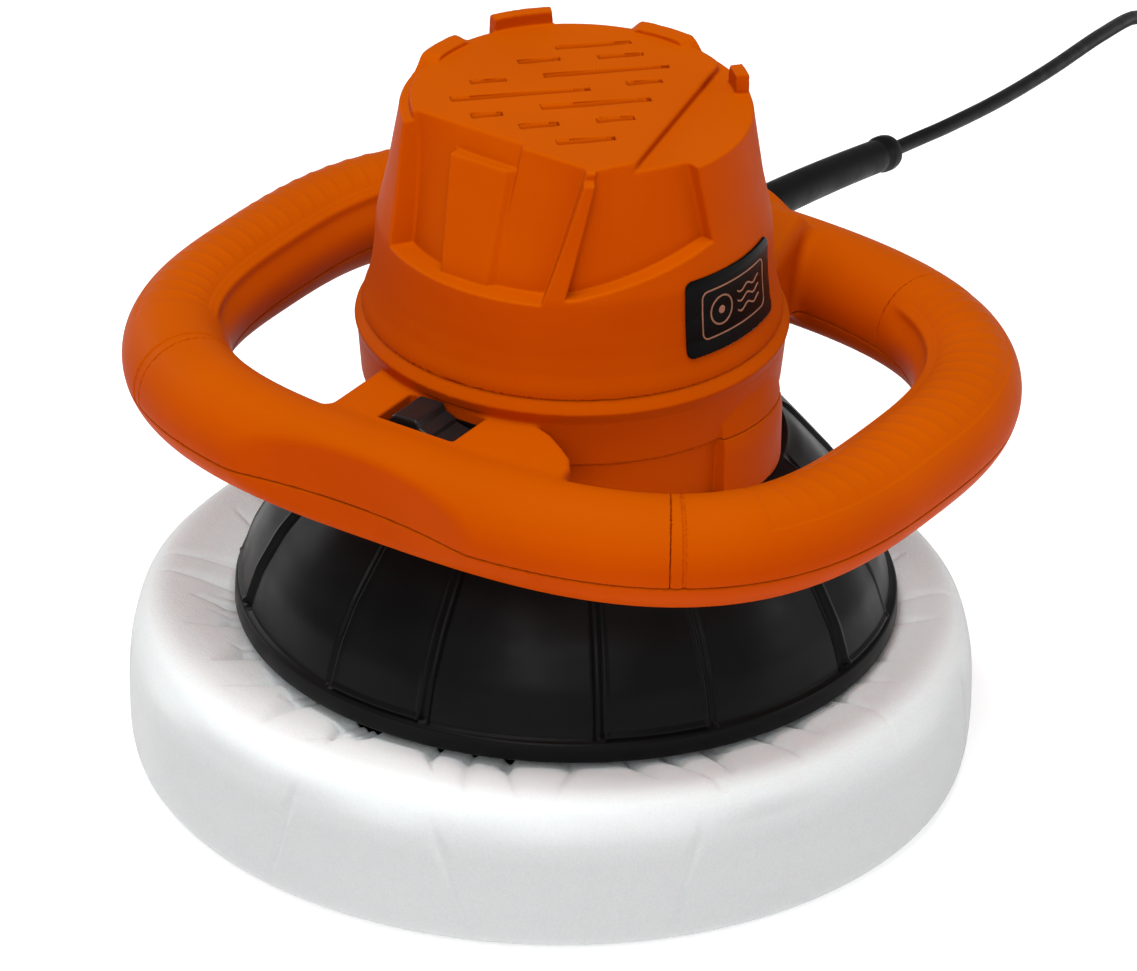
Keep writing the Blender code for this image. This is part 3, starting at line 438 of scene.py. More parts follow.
def grip_field(side):
    """The ribbed cover of one handle arm, above the seam."""
    def field(x, y, z):
        loop, outward, angle = handle_field(x, y, z)
        front, rear = seam_runs(angle)
        groove = np.hypot(front - 3.5, loop + 0.1) - 0.45
        part = blend_max(loop, FINE_GAP / 2 - np.minimum(front, rear), 0.3)
        part = carve(part, groove, 0.3)
        part = blend_max(part, seam_height(outward) + SEAM_GAP / 2 - z, 0.5)
        return np.maximum(part, -side * x)
    return field


def lower_field(x, y, z):
    """The lower barrel with the lower half of the whole handle."""
    whole, outward, _ = housing_field(x, y, z)
    part = blend_max(whole, z - seam_height(outward) + SEAM_GAP / 2, 0.5)
    part = blend_max(part, LOWER_RIM_Z - z, 0.8)
    for screw_x, screw_y in screw_places():
        hole = np.hypot(x - screw_x, y - screw_y) - SCREW_R
        part = carve(part, np.maximum(hole, z - SCREW_TOP_Z), 0.4)
    return carve(part, motor_room(x, y), 0.4)


def screw_places():
    """Where the handle's screws go in from below."""
    return [(loop_reach(a) * cos(a), loop_reach(a) * sin(a)) for a in SCREW_ANGLES]


# ---- motor cover ----
COVER_SIDE = rounded_profile([(148.0, 65.1), (155.0, 65.1), (157.5, 64.7), (162.0, 63.2),
                              (168.0, 62.0), (176.0, 61.2), (186.0, 60.7), (200.0, 57.6),
                              (220.5, 54.3), (225.0, 53.9), (236.0, 53.4)], 1.6)
# Vent slots in the top: start and end along the slot, and place across the slots.
VENTS = [(0.5, 24.0, 34.0), (-13.0, 0.0, 26.2), (12.0, 26.0, 25.5), (-7.0, 32.0, 15.8),
         (-30.0, -19.0, 15.0), (17.0, 28.0, 6.5), (-38.0, 5.0, 4.5), (-12.0, 22.0, -5.2),
         (-34.0, -24.5, -7.4), (-21.0, -9.0, -16.8), (3.0, 14.5, -16.4), (-12.0, 6.0, -29.0)]
# Raised tabs on the rim: first and last angle, top, inner radius, length of their ramped ends.
TABS = [(132, 154, 230.0, 49.8, 0.5), (44, 54, 228.8, 49.4, 1.0), (76, 107, 227.2, 47.5, 6.0),
        (161, 193, 227.2, 47.5, 8.0)]


RECESS_Z = 187.0                # foot of the side recesses
RIM_R = 53.7
PLATEAU_R = 51.0
COVER_ROOM = [(150.0, 60.3), (168.0, 58.3), (180.0, 54.0), (190.0, 48.0), (219.0, 34.0)]


def between(height, low, high, at_low, at_high):
    """A value that runs in a straight line from one height to another."""
    return at_low + (at_high - at_low) * (height - low) / (high - low)


def wedge(x, y, first, last):
    """Signed distance to the space between two angles in degrees, each fixed or a field."""
    rho, angle = np.hypot(x, y), np.arctan2(y, x)
    middle = np.radians((first + last) / 2)
    half = np.radians((last - first) / 2)
    away = np.abs(wrapped(angle - middle)) - half
    return rho * np.sin(np.clip(away, -pi / 2, pi / 2))


def recess(x, y, z, floor, start, first, last, top=240.0):
    """A sunken side panel: outside a floor, above a height, between two angles."""
    space = blend_max(-floor, wedge(x, y, first, last), 1.0)
    return np.maximum(blend_max(space, start - z, 0.7), z - top)


def cover_field(x, y, z):
    """The motor cover, its collar, recesses, vented top and rim tabs."""
    rho = np.hypot(x, y)
    side = turned(x, y, z, COVER_SIDE)
    shelf = blend_max(side, z - SHELF_Z, 1.0)
    edge = (x * 0.976 + y * 0.218) - 32.0
    plateau = blend_max(blend_max(rho - PLATEAU_R, edge, 2.5), z - PLATEAU_Z, 1.4)
    cover = blend_min(shelf, plateau, 1.0)
    for first, last, top, inner, ramp in TABS:
        ends = wedge(x, y, first, last)
        crest = SHELF_Z + (top - SHELF_Z) * fade(-ends, -0.5, ramp)
        rim = blend_max(slab(rho, inner, RIM_R), ends, 0.7)
        cover = blend_min(cover, blend_max(rim, np.maximum(215 - z, z - crest), 0.7), 0.8)
    for hollow in (front_recess(x, y, z, rho), right_recess(x, y, z, rho),
                   rear_recess(x, y, z, rho), left_recess(x, y, z, rho)):
        cover = carve(cover, hollow, 0.9)
    cover = blend_min(cover, front_rib(x, y, z), 0.6)
    cover = vented(cover, x, y, z)
    cover = blend_max(cover, COVER_Z + FINE_GAP / 2 - z, 0.3)
    heights, radii = zip(*COVER_ROOM)
    room = np.maximum(rho - np.interp(z, heights, radii), z - heights[-1])
    return carve(cover, room, 0.6)


def front_recess(x, y, z, rho):
    """The wide hollow in front: round at its foot, with one small step in its top edge."""
    up = np.clip((z - 185.0) / 40.5, 0, 1.2)
    edge = -37.0 - 1.2 * np.tanh((x - 5.0) / 0.5)
    floor = (1 - up) * (rho - 53.0) + up * (edge - y)
    return recess(x, y, z, floor, 185.0, -124.0 - 10.0 * up, -66.0 + 13.0 * up)


def right_recess(x, y, z, rho):
    """The hollow on the right, whose foot rises towards the rear."""
    up = np.clip((z - RECESS_Z) / 36.5, 0, 1.2)
    edge = 0.855 * x - 0.516 * y - 46.9
    foot = RECESS_Z + 10.5 * np.clip((np.degrees(np.arctan2(y, x)) + 57) / 45, 0, 1)
    floor = (1 - up) * (rho - 55.2) + up * edge
    return recess(x, y, z, floor, foot, -59.0 + 9.0 * up, -9.0 - 5.0 * up)


def rear_recess(x, y, z, rho):
    """The hollow at the rear, which leaves the rim above it whole."""
    floor = rho - between(z, RECESS_Z, 223.5, 55.5, 50.2)
    space = recess(x, y, z, floor, RECESS_Z, 66.0, 102.0, 221.0)
    return np.maximum(space, rho - between(z, RECESS_Z, 223.5, 59.0, 51.4))


def left_recess(x, y, z, rho):
    """The hollow on the left."""
    floor = rho - between(z, RECESS_Z, 220, 55.5, 51.2)
    return recess(x, y, z, floor, RECESS_Z, 112.0, 148.0, 219.5)


def front_rib(x, y, z):
    """The flat-faced rib that stands in the front hollow."""
    face = between(z, 187, 218.5, -54.5, -42.0)
    left = between(z, 187, 218.5, -12.5, -18.2)
    right = between(z, 187, 218.5, 4.0, 2.5)
    slant = ((x - right) - (y - face)) * sqrt(0.5)
    rib = blend_max(face - y, np.maximum(left - x, np.maximum(slant, x - right - 4.0)), 0.7)
    return blend_max(np.maximum(rib, y + 30.0), slab(z, 180.0, 218.3), 0.7)


def vented(cover, x, y, z):
    """Louvre slots in the top: each floor slopes down towards the front."""
    u = (x + y) * sqrt(0.5)
    v = (y - x) * sqrt(0.5)
    for start, end, across in VENTS:
        along = np.clip((u - start) / (end - start), 0, 1)
        half = (1.9 if across < 0 else 1.5) * (1 - 0.3 * along)
        deep = 0.4 + 2.8 * fade((across - v) / half, -1.0, 0.1) + 0.4 * fade(along, 0.85, 1.0)
        slot = np.maximum(np.abs(v - across) - half, slab(u, start, end))
        cover = carve(cover, np.maximum(slot, PLATEAU_Z - deep - z), 0.3)
    return cover


# ---- materials ----
def material(name, build):
    """A node material made by a builder of its Principled shader."""
    made = bpy.data.materials.new(name)
    made.use_nodes = True
    build(Nodes(made.node_tree))
    return made


class Nodes:
    """Short calls for a material's node tree."""

    def __init__(self, tree):
        self.tree = tree
        self.shader = tree.nodes["Principled BSDF"]
        self.coordinates = tree.nodes.new("ShaderNodeTexCoord").outputs["Object"]

    def add(self, kind, inputs=None, **settings):
        node = self.tree.nodes.new(kind)
        for key, value in settings.items():
            setattr(node, key, value)
        for key, value in (inputs or {}).items():
            self.set(node.inputs[key], value)
        return node

    def set(self, socket, value):
        if isinstance(value, bpy.types.NodeSocket):
            self.tree.links.new(value, socket)
        else:
            socket.default_value = value

    def finish(self, **values):
        for key, value in values.items():
            self.set(self.shader.inputs[key.replace("_", " ")], value)

    def noise(self, scale, detail=3.0, roughness=0.5, at=None):
        return self.add("ShaderNodeTexNoise", {"Vector": at or self.coordinates, "Scale": scale,
                        "Detail": detail, "Roughness": roughness}).outputs["Fac"]

    def ramp(self, factor, low, high, start=0.3, end=0.7):
        node = self.add("ShaderNodeMapRange", {"Value": factor, "From Min": start,
                        "From Max": end, "To Min": low, "To Max": high})
        return node.outputs["Result"]

    def mix(self, factor, first, second):
        node = self.add("ShaderNodeMix", data_type="RGBA")
        self.set(node.inputs["Factor"], factor)
        self.set(node.inputs["A"], (*first, 1) if isinstance(first, tuple) else first)
        self.set(node.inputs["B"], (*second, 1) if isinstance(second, tuple) else second)
        return node.outputs["Result"]

    def upward(self):
        """How far a surface faces up, 0 at a wall and 1 at a level top."""
        normal = self.add("ShaderNodeNewGeometry").outputs["Normal"]
        return self.add("ShaderNodeSeparateXYZ", {"Vector": normal}).outputs["Z"]

    def bump(self, height, strength, distance, under=None):
        node = self.add("ShaderNodeBump", {"Height": height, "Strength": strength,
                                           "Distance": distance})
        if under:
            self.set(node.inputs["Normal"], under)
        return node.outputs["Normal"]


def orange_plastic(n):
    """Satin orange moulding with a fine eroded grain and slight flow marks, with painted light on
    its upward faces.
    """
    flow = n.noise(18, 2)
    # painted light and shade: walls get the darker orange, up-facing surfaces the lighter, yellower
    # one, mixed by how far each faces up
    side = n.mix(n.ramp(flow, 0, 1), (0.430, 0.046, 0.0), (0.465, 0.053, 0.0))
    top = n.mix(n.ramp(flow, 0, 1), (0.470, 0.073, 0.0), (0.510, 0.082, 0.0))
    colour = n.mix(n.ramp(n.upward(), 0, 1, 0.0, 0.9), side, top)
    grain = n.noise(2600, 2, 0.6)
    waves = n.noise(45, 1)
    n.finish(Base_Color=colour, Roughness=n.ramp(n.noise(60, 4), 0.44, 0.54), IOR=1.22,
             Specular_IOR_Level=0.08, Specular_Tint=(1.0, 0.55, 0.15, 1),
             Normal=n.bump(grain, 0.10, 0.0001, n.bump(waves, 0.05, 0.002)))


def black_plastic(n):
    """Satin black moulding."""
    colour = n.mix(n.ramp(n.noise(25, 3), 0, 1), (0.0030, 0.0030, 0.0031), (0.0045, 0.0045, 0.0047))
    n.finish(Base_Color=colour, Roughness=n.ramp(n.noise(80, 4), 0.34, 0.44), IOR=1.38,
             Specular_IOR_Level=0.15, Normal=n.bump(n.noise(2400, 2, 0.6), 0.12, 0.0001))


def rocker_plastic(n):
    """Dark grey satin moulding of the rocker."""
    colour = n.mix(n.ramp(n.noise(60, 3), 0, 1), (0.0060, 0.0060, 0.0062), (0.0100, 0.0098, 0.0100))
    n.finish(Base_Color=colour, Roughness=0.40, Specular_IOR_Level=0.30,
             Normal=n.bump(n.noise(3000, 2), 0.15, 0.0001))


def rubber(n):
    """Matte black rubber of the cord and its guard."""
    colour = n.mix(n.ramp(n.noise(40, 3), 0, 1), (0.0020, 0.0020, 0.0021), (0.0035, 0.0035, 0.0036))
    n.finish(Base_Color=colour, Roughness=n.ramp(n.noise(150, 3), 0.42, 0.58),
             Specular_IOR_Level=0.14, Normal=n.bump(n.noise(1800, 3), 0.2, 0.0001))


def cloth(n):
    """White brushed cloth: short pile, a fine weave and soft creases, with painted shade that greys
    its walls and slopes.
    """
    pile = n.noise(1500, 4, 0.75)
    weave = n.add("ShaderNodeTexVoronoi", {"Vector": n.coordinates, "Scale": 1100.0},
                  feature="F1").outputs["Distance"]
    creases = n.noise(70, 3, 0.6)
    # painted shade: walls and steep slopes get the grey colour, up-facing cloth the near-white one,
    # mixed by how far each faces up
    side = n.mix(n.ramp(pile, 0, 1), (0.50, 0.515, 0.52), (0.57, 0.575, 0.58))
    top = n.mix(n.ramp(pile, 0, 1), (0.865, 0.90, 0.905), (0.92, 0.955, 0.96))
    colour = n.mix(n.ramp(n.upward(), 0, 1, 0.05, 0.75), side, top)
    under = n.bump(creases, 0.16, 0.003, n.bump(weave, 0.25, 0.0004))
    n.finish(Base_Color=colour, Roughness=0.95, Specular_IOR_Level=0.15, Sheen_Weight=0.35,
             Sheen_Roughness=0.5, Subsurface_Weight=0.08, Subsurface_Scale=0.004,
             Normal=n.bump(pile, 0.30, 0.0005, under))


def foam(n):
    """Open grey foam."""
    cells = n.add("ShaderNodeTexVoronoi", {"Vector": n.coordinates, "Scale": 900.0}
                  ).outputs["Distance"]
    n.finish(Base_Color=n.mix(cells, (0.07, 0.07, 0.075), (0.11, 0.11, 0.12)), Roughness=0.95,
             Normal=n.bump(cells, 0.6, 0.0008))


def metal(colour, roughness, scale=400):
    """A machined metal with fine turning marks."""
    def build(n):
        stretched = n.add("ShaderNodeMapping", {"Vector": n.coordinates, "Scale": (1, 1, 12)})
        marks = n.noise(scale, 3, 0.6, stretched.outputs["Vector"])
        tone = n.mix(n.ramp(marks, 0, 1), tuple(c * 0.85 for c in colour), colour)
        n.finish(Base_Color=tone, Metallic=1.0,
                 Roughness=n.ramp(marks, roughness - 0.06, roughness + 0.10),
                 Normal=n.bump(marks, 0.08, 0.0002))
    return build


def label_black(n):
    """Glossy black face of the nameplate."""
    colour = n.mix(n.ramp(n.noise(30, 2), 0, 1), (0.0014, 0.0014, 0.0015), (0.0022, 0.0021, 0.0020))
    n.finish(Base_Color=colour, Roughness=n.ramp(n.noise(120, 2), 0.24, 0.32), IOR=1.3,
             Specular_IOR_Level=0.12)


def label_copper(n):
    """Copper-coloured print on the nameplate."""
    colour = n.mix(n.ramp(n.noise(300, 3), 0, 1), (0.26, 0.11, 0.06), (0.34, 0.15, 0.09))
    n.finish(Base_Color=colour, Roughness=0.42, Metallic=0.5)


ORANGE = material("orange_plastic", orange_plastic)
BLACK = material("black_plastic", black_plastic)
ROCKER = material("rocker_plastic", rocker_plastic)
RUBBER = material("cord_rubber", rubber)
CLOTH = material("bonnet_cloth", cloth)
FOAM = material("pad_foam", foam)
STEEL = material("machined_steel", metal((0.62, 0.62, 0.63), 0.30))
IRON = material("stamped_iron", metal((0.30, 0.30, 0.31), 0.45, 900))
COPPER = material("wound_copper", metal((0.72, 0.33, 0.16), 0.35, 700))
ALLOY = material("cast_alloy", metal((0.60, 0.61, 0.63), 0.48, 200))
BRASS = material("stamped_brass", metal((0.74, 0.55, 0.22), 0.26))
CARBON = material("pressed_carbon", foam)
LABEL = material("label_black", label_black)
PRINT = material("label_copper", label_copper)
BY_SLOT = {"moulded_orange": ORANGE, "moulded_black": BLACK, "black_rubber": RUBBER,
           "white_cloth": CLOTH, "grey_foam": FOAM, "steel": STEEL, "laminated_iron": IRON,
           "copper": COPPER, "cast_alloy": ALLOY, "brass": BRASS, "carbon": CARBON}


def finish_cad_nodes():
    """Every carried-over CAD node gets the procedural material of its slot."""
    for part in frame["record"]["subparts"]:
        node = frame["nodes"][part["node"]]
        node.data.materials.clear()
        node.data.materials.append(BY_SLOT[part["material_slot"]])


def stands_for(piece, body, slot, *nodes):
    """The piece rides on a body and replaces CAD nodes."""
    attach(piece, body)
    if nodes:
        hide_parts(*nodes)
    return piece


# ---- cord ----
def smooth_points(route, step):
    """Even points on a smooth curve through a route."""
    points = [Vector(p) for p in route]
    ends = [2 * points[0] - points[1]] + points + [2 * points[-1] - points[-2]]
    fine = []
    for a, b, c, d in zip(ends, ends[1:], ends[2:], ends[3:]):
        for i in range(24):
            t = i / 24
            fine.append(0.5 * (2 * b + (c - a) * t + (2 * a - 5 * b + 4 * c - d) * t * t
                               + (3 * b - a - 3 * c + d) * t ** 3))
    fine.append(points[-1])
    even, since = [fine[0]], 0.0
    for before, after in zip(fine, fine[1:]):
        since += (after - before).length
        if since >= step:
            even.append(after)
            since = 0.0
    if (even[-1] - fine[-1]).length < step / 2:
        even.pop()
    return even + [fine[-1]]


def coil_points():
    """Turns laid row on row, each row's turns a diameter apart, wound clockwise."""
    low = CORD_ROUTE[-1][2]
    turns = [(COIL_OUTER_R - COIL_PITCH * c, low + COIL_PITCH * r)
             for r, columns in enumerate(COIL_ROWS) for c in columns]
    start = hypot(CORD_ROUTE[-1][0] - COIL_CENTRE[0], CORD_ROUTE[-1][1] - COIL_CENTRE[1])
    places = [(start, low)] + turns
    steps = 36
    points = []
    for (r0, z0), (r1, z1) in zip(places, places[1:]):
        for i in range(steps):
            t = min(1.0, 2.0 * i / steps)
            ease = 0.5 - 0.5 * cos(pi * t)
            points.append((pi - 2 * pi * i / steps, r0 + (r1 - r0) * ease, z0 + (z1 - z0) * ease))
    points = points[1:]
    tail = Vector(TAIL_ROUTE[TAIL_JOINT])
    end_angle = atan2(tail.y - COIL_CENTRE[1], tail.x - COIL_CENTRE[0])
    end_r = hypot(tail.y - COIL_CENTRE[1], tail.x - COIL_CENTRE[0])
    last_r, top = turns[-1]
    for i in range(1, steps // 2):
        t = 2 * i / steps
        angle = pi - (pi - end_angle) * t
        out = 0.5 - 0.5 * cos(pi * min(1.0, t / 0.40))
        down = 0.5 - 0.5 * cos(pi * min(1.0, max(0.0, (t - 0.38) / 0.62)))
        points.append((angle, last_r + (end_r - last_r) * out, top + (tail.z - top) * down))
    return [Vector((COIL_CENTRE[0] + r * cos(a), COIL_CENTRE[1] + r * sin(a), z))
            for a, r, z in points]


def make_cord():
    """The cord from the guard through its coil to the plug, as one curve."""
    lead = smooth_points(CORD_ROUTE, 0.006)
    points = lead + coil_points() + smooth_points(TAIL_ROUTE[TAIL_JOINT:], 0.005)
    curve = bpy.data.curves.new("mains_cord", "CURVE")
    curve.dimensions = "3D"
    curve.bevel_depth = CORD_D / 2
    curve.bevel_resolution = 6
    curve.use_fill_caps = True
    spline = curve.splines.new("POLY")
    spline.points.add(len(points) - 1)
    for place, point in zip(spline.points, points):
        place.co = (*point, 1.0)
    spline.use_smooth = True
    curve.materials.append(RUBBER)
    body = bpy.data.objects.new("mains_cord", curve)
    bpy.context.collection.objects.link(body)
    stands_for(body, HOUSING, "black_rubber", "power_cord", "cord_coil", "cord_tail")
    length = sum((b - a).length for a, b in zip(points, points[1:]))
    nodes = [frame["nodes"][n] for n in ("cord_tie", "plug_pin_left", "plug_pin_right")]
    tuple(points[0])
    [make_plug()] + nodes


def round_piece(name, route, radii, finish, sides=48, step=0.0012):
    """A round piece along a route, from (part of the length, radius in mm) pairs."""
    points = smooth_points(route, step)
    parts, sizes = zip(*radii)
    rows = []
    for i, place in enumerate(points):
        along = (points[min(i + 1, len(points) - 1)] - points[max(i - 1, 0)]).normalized()
        side = along.cross(Vector((0, 0, 1))).normalized()
        up = side.cross(along)
        r = float(np.interp(i / (len(points) - 1), parts, sizes)) * MM
        turn = [2 * pi * k / sides for k in range(sides)]
        rows += [place + side * (r * cos(a)) + up * (r * sin(a)) for a in turn]
    quads = grid_quads(len(points), sides, wrap_columns=True)
    return add_mesh(name, rows, quads, finish, scale=1)


def make_cord_guard():
    """Moulded rubber sleeve, nearly parallel, with a collar close to its far end."""
    radii = [(0.0, 2.5), (0.005, 5.7), (0.02, 6.1), (0.6, 5.6), (0.880, 5.4), (0.888, 5.0),
             (0.902, 5.0), (0.910, 5.8), (0.920, 6.0), (0.960, 5.9), (0.972, 5.4), (0.98, 4.6),
             (0.992, 4.2), (1.0, 2.45)]
    guard = round_piece("cord_sleeve", GUARD_ROUTE, radii, RUBBER, step=0.0006)
    stands_for(guard, HOUSING, "black_rubber", "cord_guard")


# The plug's sections: distance from its tail, half width and half height.
PLUG_SECTIONS = [(0, 2.6, 2.6), (0.4, 3.0, 3.0), (11.4, 4.2, 4.2), (16.4, 8.2, 7.2),
                 (20.4, 10.8, 8.3), (23.4, 12.2, 8.9), (34.4, 12.6, 9.0), (35.4, 12.1, 8.5)]


def make_plug():
    """Moulded two-pin plug with finger ribs on its waist."""
    x, _, z = (c / MM for c in TAIL_ROUTE[-1])
    start = TAIL_ROUTE[-1][1] / MM - 0.6
    along = np.concatenate([np.linspace(0, 35.4, 119), [35.6]])
    places, half_widths, half_heights = zip(*PLUG_SECTIONS)
    wide = np.interp(along, places, half_widths)
    tall = np.interp(along, places, half_heights)
    ribs = 0.35 * np.sin((along - 12.0) * 2 * pi / 2.4) * (np.abs(along - 17.0) < 4.2)
    wide, tall = wide + ribs, tall + ribs
    wide[-1], tall[-1] = 0.3, 0.3
    sides = 64
    a = np.linspace(2 * pi, 0, sides, endpoint=False)
    power = 2 / 2.6
    unit_x = np.sign(np.cos(a)) * np.abs(np.cos(a)) ** power
    unit_z = np.sign(np.sin(a)) * np.abs(np.sin(a)) ** power
    points = np.stack([x + np.outer(wide, unit_x), np.repeat((start - along)[:, None], sides, 1),
                       z + np.outer(tall, unit_z)], axis=-1)
    plug = add_mesh("mains_plug", points.reshape(-1, 3),
                    grid_quads(len(along), sides, wrap_columns=True), RUBBER)
    return stands_for(plug, HOUSING, "black_rubber", "plug_body")


# ---- skirt, bonnet, nameplate and rocker ----
def polar_mesh(name, radii, heights, angles, centre, finish):
    """A closed turned mesh from (row, column) arrays of radius and height."""
    x = centre[0] + radii * np.cos(angles)
    y = centre[1] + radii * np.sin(angles)
    points = np.stack([x, y, heights], axis=-1).reshape(-1, 3)
    rows, columns = radii.shape
    return add_mesh(name, points, grid_quads(rows, columns, True, True), finish)


def refine(profile, step):
    """Profile corners with points added so that none are further apart than a step."""
    fine = []
    for (r0, z0), (r1, z1) in zip(profile, profile[1:]):
        count = max(1, round(hypot(r1 - r0, z1 - z0) / step))
        fine += [(r0 + (r1 - r0) * i / count, z0 + (z1 - z0) * i / count) for i in range(count)]
    return fine + [profile[-1]]


SKIRT_PANELS = 7
SKIRT_FIRST = radians(-92)
SKIRT_HALF = 9.6                # half width of a raised panel, degrees
SKIRT_BELL = [(66.2, 111.0), (70.2, 108.5), (74.5, 103.5), (81.5, 95.0), (90.8, 83.5),
              (97.2, 71.5), (100.3, 61.5), (101.2, 57.8)]


SKIRT_LIP = [(102.9, 57.5), (103.4, 57.1), (103.6, 56.4), (103.7, 51.6), (103.4, 51.0),
             (102.9, 50.8), (101.3, 50.8), (100.8, 51.2)]
SKIRT_INSIDE = [(98.5, 59.0), (94.5, 71.5), (88.2, 83.5), (81.8, 91.5), (77.5, 96.5),
                (45.2, 96.5), (45.0, 96.7), (45.0, 99.5), (45.2, 99.7), (73.0, 99.7),
                (69.0, 104.5), (64.0, 107.5), (64.0, 110.8)]
SKIRT_COLUMNS = 1440


def make_skirt():
    """Bell-shaped skirt: raised panels with a groove beside each edge, and a rim lip."""
    eased = rounded_profile([(z, r) for r, z in reversed(SKIRT_BELL)], 4.0)
    bell = refine([(r, z) for z, r in reversed(eased)], 0.7)
    profile = np.array(bell + SKIRT_LIP + refine(SKIRT_INSIDE, 6.0))
    angles = np.linspace(-pi, pi, SKIRT_COLUMNS, endpoint=False)
    r = np.repeat(profile[:, :1], SKIRT_COLUMNS, 1)
    z = np.repeat(profile[:, 1:], SKIRT_COLUMNS, 1)
    turn = (angles - SKIRT_FIRST) % (2 * pi / SKIRT_PANELS)
    turn = np.minimum(turn, 2 * pi / SKIRT_PANELS - turn)
    away = (turn - radians(SKIRT_HALF))[None, :] * r
    face = np.zeros(len(profile))
    face[:len(bell)] = 1
    face = face[:, None] * fade(z, 110.8, 106.0)
    panel = 1.1 * (1 - fade(away, -0.4, 0.2))
    groove = 1.0 * np.exp(-np.abs((away - 1.5) / 1.15) ** 4)
    ridge = 0.45 * np.exp(-((away + 0.9) / 0.7) ** 2)
    foot = 0.8 * (1 - fade(np.abs(z - 59.2), 0.5, 1.0)) * (away < -0.6)
    swell = 0.4 * np.cos(2 * SKIRT_PANELS * (angles - SKIRT_FIRST))[None, :] * fade(z, 60, 80)
    r = r + face * (panel * fade(z, 58.2, 58.8) - groove + ridge + foot + swell)
    skirt = polar_mesh("skirt_shell", r, z, angles[None, :], (0.0, 0.0), BLACK)
    stands_for(skirt, HOUSING, "moulded_black", "shroud")


BONNET_SIDE = [(92.5, 46.8), (98.0, 47.4), (104.0, 48.6), (109.0, 49.8), (113.0, 50.6),
               (117.0, 51.0), (121.0, 51.6), (124.6, 50.4), (127.6, 47.8), (129.8, 44.2),
               (131.3, 39.0), (132.0, 32.0), (132.2, 22.0), (132.0, 12.0), (131.6, 6.0),
               (130.4, 2.4), (128.0, 0.5), (124.0, 0.1), (100.0, 0.0), (60.0, 0.0), (20.0, 0.0),
               (0.3, 0.0)]
BONNET_COLUMNS = 1200
BONNET_BASE = 18                # from here on the points lie on the face
CLOTH_WALL = 1.3
HEM_R = 101.0
GATHER_COUNT = 40
GATHER_SEED = 7
# Creases down the side: angle, depth and lean.
SIDE_CREASES = [(-1.62, 0.8, 0.25), (-1.27, 0.6, -0.35), (-0.62, 0.7, 0.30), (-2.45, 0.6, 0.15),
                (0.35, 0.6, -0.2), (1.4, 0.7, 0.2), (2.5, 0.6, 0.1)]


def gathers(rng):
    """The hem's gathers: angle, length, depth, width at the hem, and lean of each."""
    made = []
    for i in range(GATHER_COUNT):
        middle = (i + rng.uniform(-0.4, 0.4)) * 2 * pi / GATHER_COUNT
        made.append((middle, rng.uniform(12, 31), rng.uniform(1.8, 3.4), rng.uniform(1.1, 2.5),
                     rng.uniform(-0.5, 0.5)))
        for _ in range(rng.integers(0, 4)):
            made.append((middle + rng.uniform(-0.06, 0.06), rng.uniform(3, 8),
                         rng.uniform(0.6, 1.4), rng.uniform(0.6, 1.1), rng.uniform(-0.4, 0.4)))
    return made


def bonnet_folds(r, z, angles):
    """How far the cloth is lifted by its gathers, creases and slack."""
    lift = np.zeros(np.broadcast_shapes(r.shape, angles.shape))
    top = fade(z, 38.0, 46.0)
    out = r - HEM_R
    for middle, length, depth, width, lean in gathers(np.random.default_rng(GATHER_SEED)):
        left = np.clip(1 - out / length, 0, 1)
        gone = wrapped(angles - middle)
        across = np.abs(gone * r - lean * np.maximum(out, 0)) / (0.5 + width * left)
        lift -= depth * np.exp(-across ** 1.25) * left ** 0.7 * top
    for middle, depth, lean in SIDE_CREASES:
        gone = wrapped(angles - middle)
        across = gone * 131 + lean * (45 - z)
        wall = fade(z, 4.0, 14.0) * (1 - fade(z, 30.0, 46.0))
        lift -= depth * np.exp(-(across / 1.6) ** 2) * wall
    slack = 0.55 * np.sin(5 * angles + 0.6) + 0.45 * np.sin(9 * angles + 2.1)
    slack = slack + 0.3 * np.sin(17 * angles)
    return lift + slack * fade(z, 2.0, 20.0) * (1 - 0.7 * top)


def make_bonnet():
    """White cloth cover, drawn tight over the pad and gathered in under the skirt."""
    centre = frame_axis("pad_spin")
    angles = np.linspace(-pi, pi, BONNET_COLUMNS, endpoint=False)[None, :]
    profile = np.array(refine(BONNET_SIDE[:BONNET_BASE], 0.8) + BONNET_SIDE[BONNET_BASE:])
    for _ in range(20):
        profile[1:-8] = (profile[:-9] + 2 * profile[1:-8] + profile[2:-7]) / 4
    tangent = np.gradient(profile, axis=0)
    out = np.stack([-tangent[:, 1], tangent[:, 0]], axis=1)
    out /= np.linalg.norm(out, axis=1)[:, None]
    r0, z0 = profile[:, :1], profile[:, 1:]
    lift = bonnet_folds(r0, z0, angles)
    rows_r, rows_z = [], []
    for depth in (0.0, CLOTH_WALL):
        rows_r.append(r0 + out[:, :1] * (lift - depth))
        rows_z.append(np.maximum(z0 + out[:, 1:] * (lift - depth), 0.0 if depth == 0 else 0.9))
    r = np.concatenate([rows_r[0], rows_r[1][::-1]])
    z = np.concatenate([rows_z[0], rows_z[1][::-1]])
    r = np.maximum(r, 0.2)
    bonnet = polar_mesh("cloth_bonnet", r, z, angles, centre, CLOTH)
    stands_for(bonnet, PAD, "white_cloth", "bonnet", "bonnet_elastic")


def frame_axis(name):
    """Where a joint's upright axis crosses the floor, in millimetres."""
    for joint in frame["record"]["behaviour"]["joints"]:
        if joint["name"] == name:
            return joint["pos_m"][0] / MM, joint["pos_m"][1] / MM
    raise KeyError(name)


LABEL_MIDDLE = radians(-3)
LABEL_HALF = (21.6, 12.6)       # half sizes round the collar and upward
LABEL_Z = 175.8
COLLAR_R = 61.4                 # the collar's radius behind the label


def label_places(x, y, z):
    """Places on the nameplate: along it, up it, and outward from the collar's side."""
    along = (np.arctan2(y, x) - LABEL_MIDDLE) * COLLAR_R
    return along, z - LABEL_Z, turned(x, y, z, COVER_SIDE)


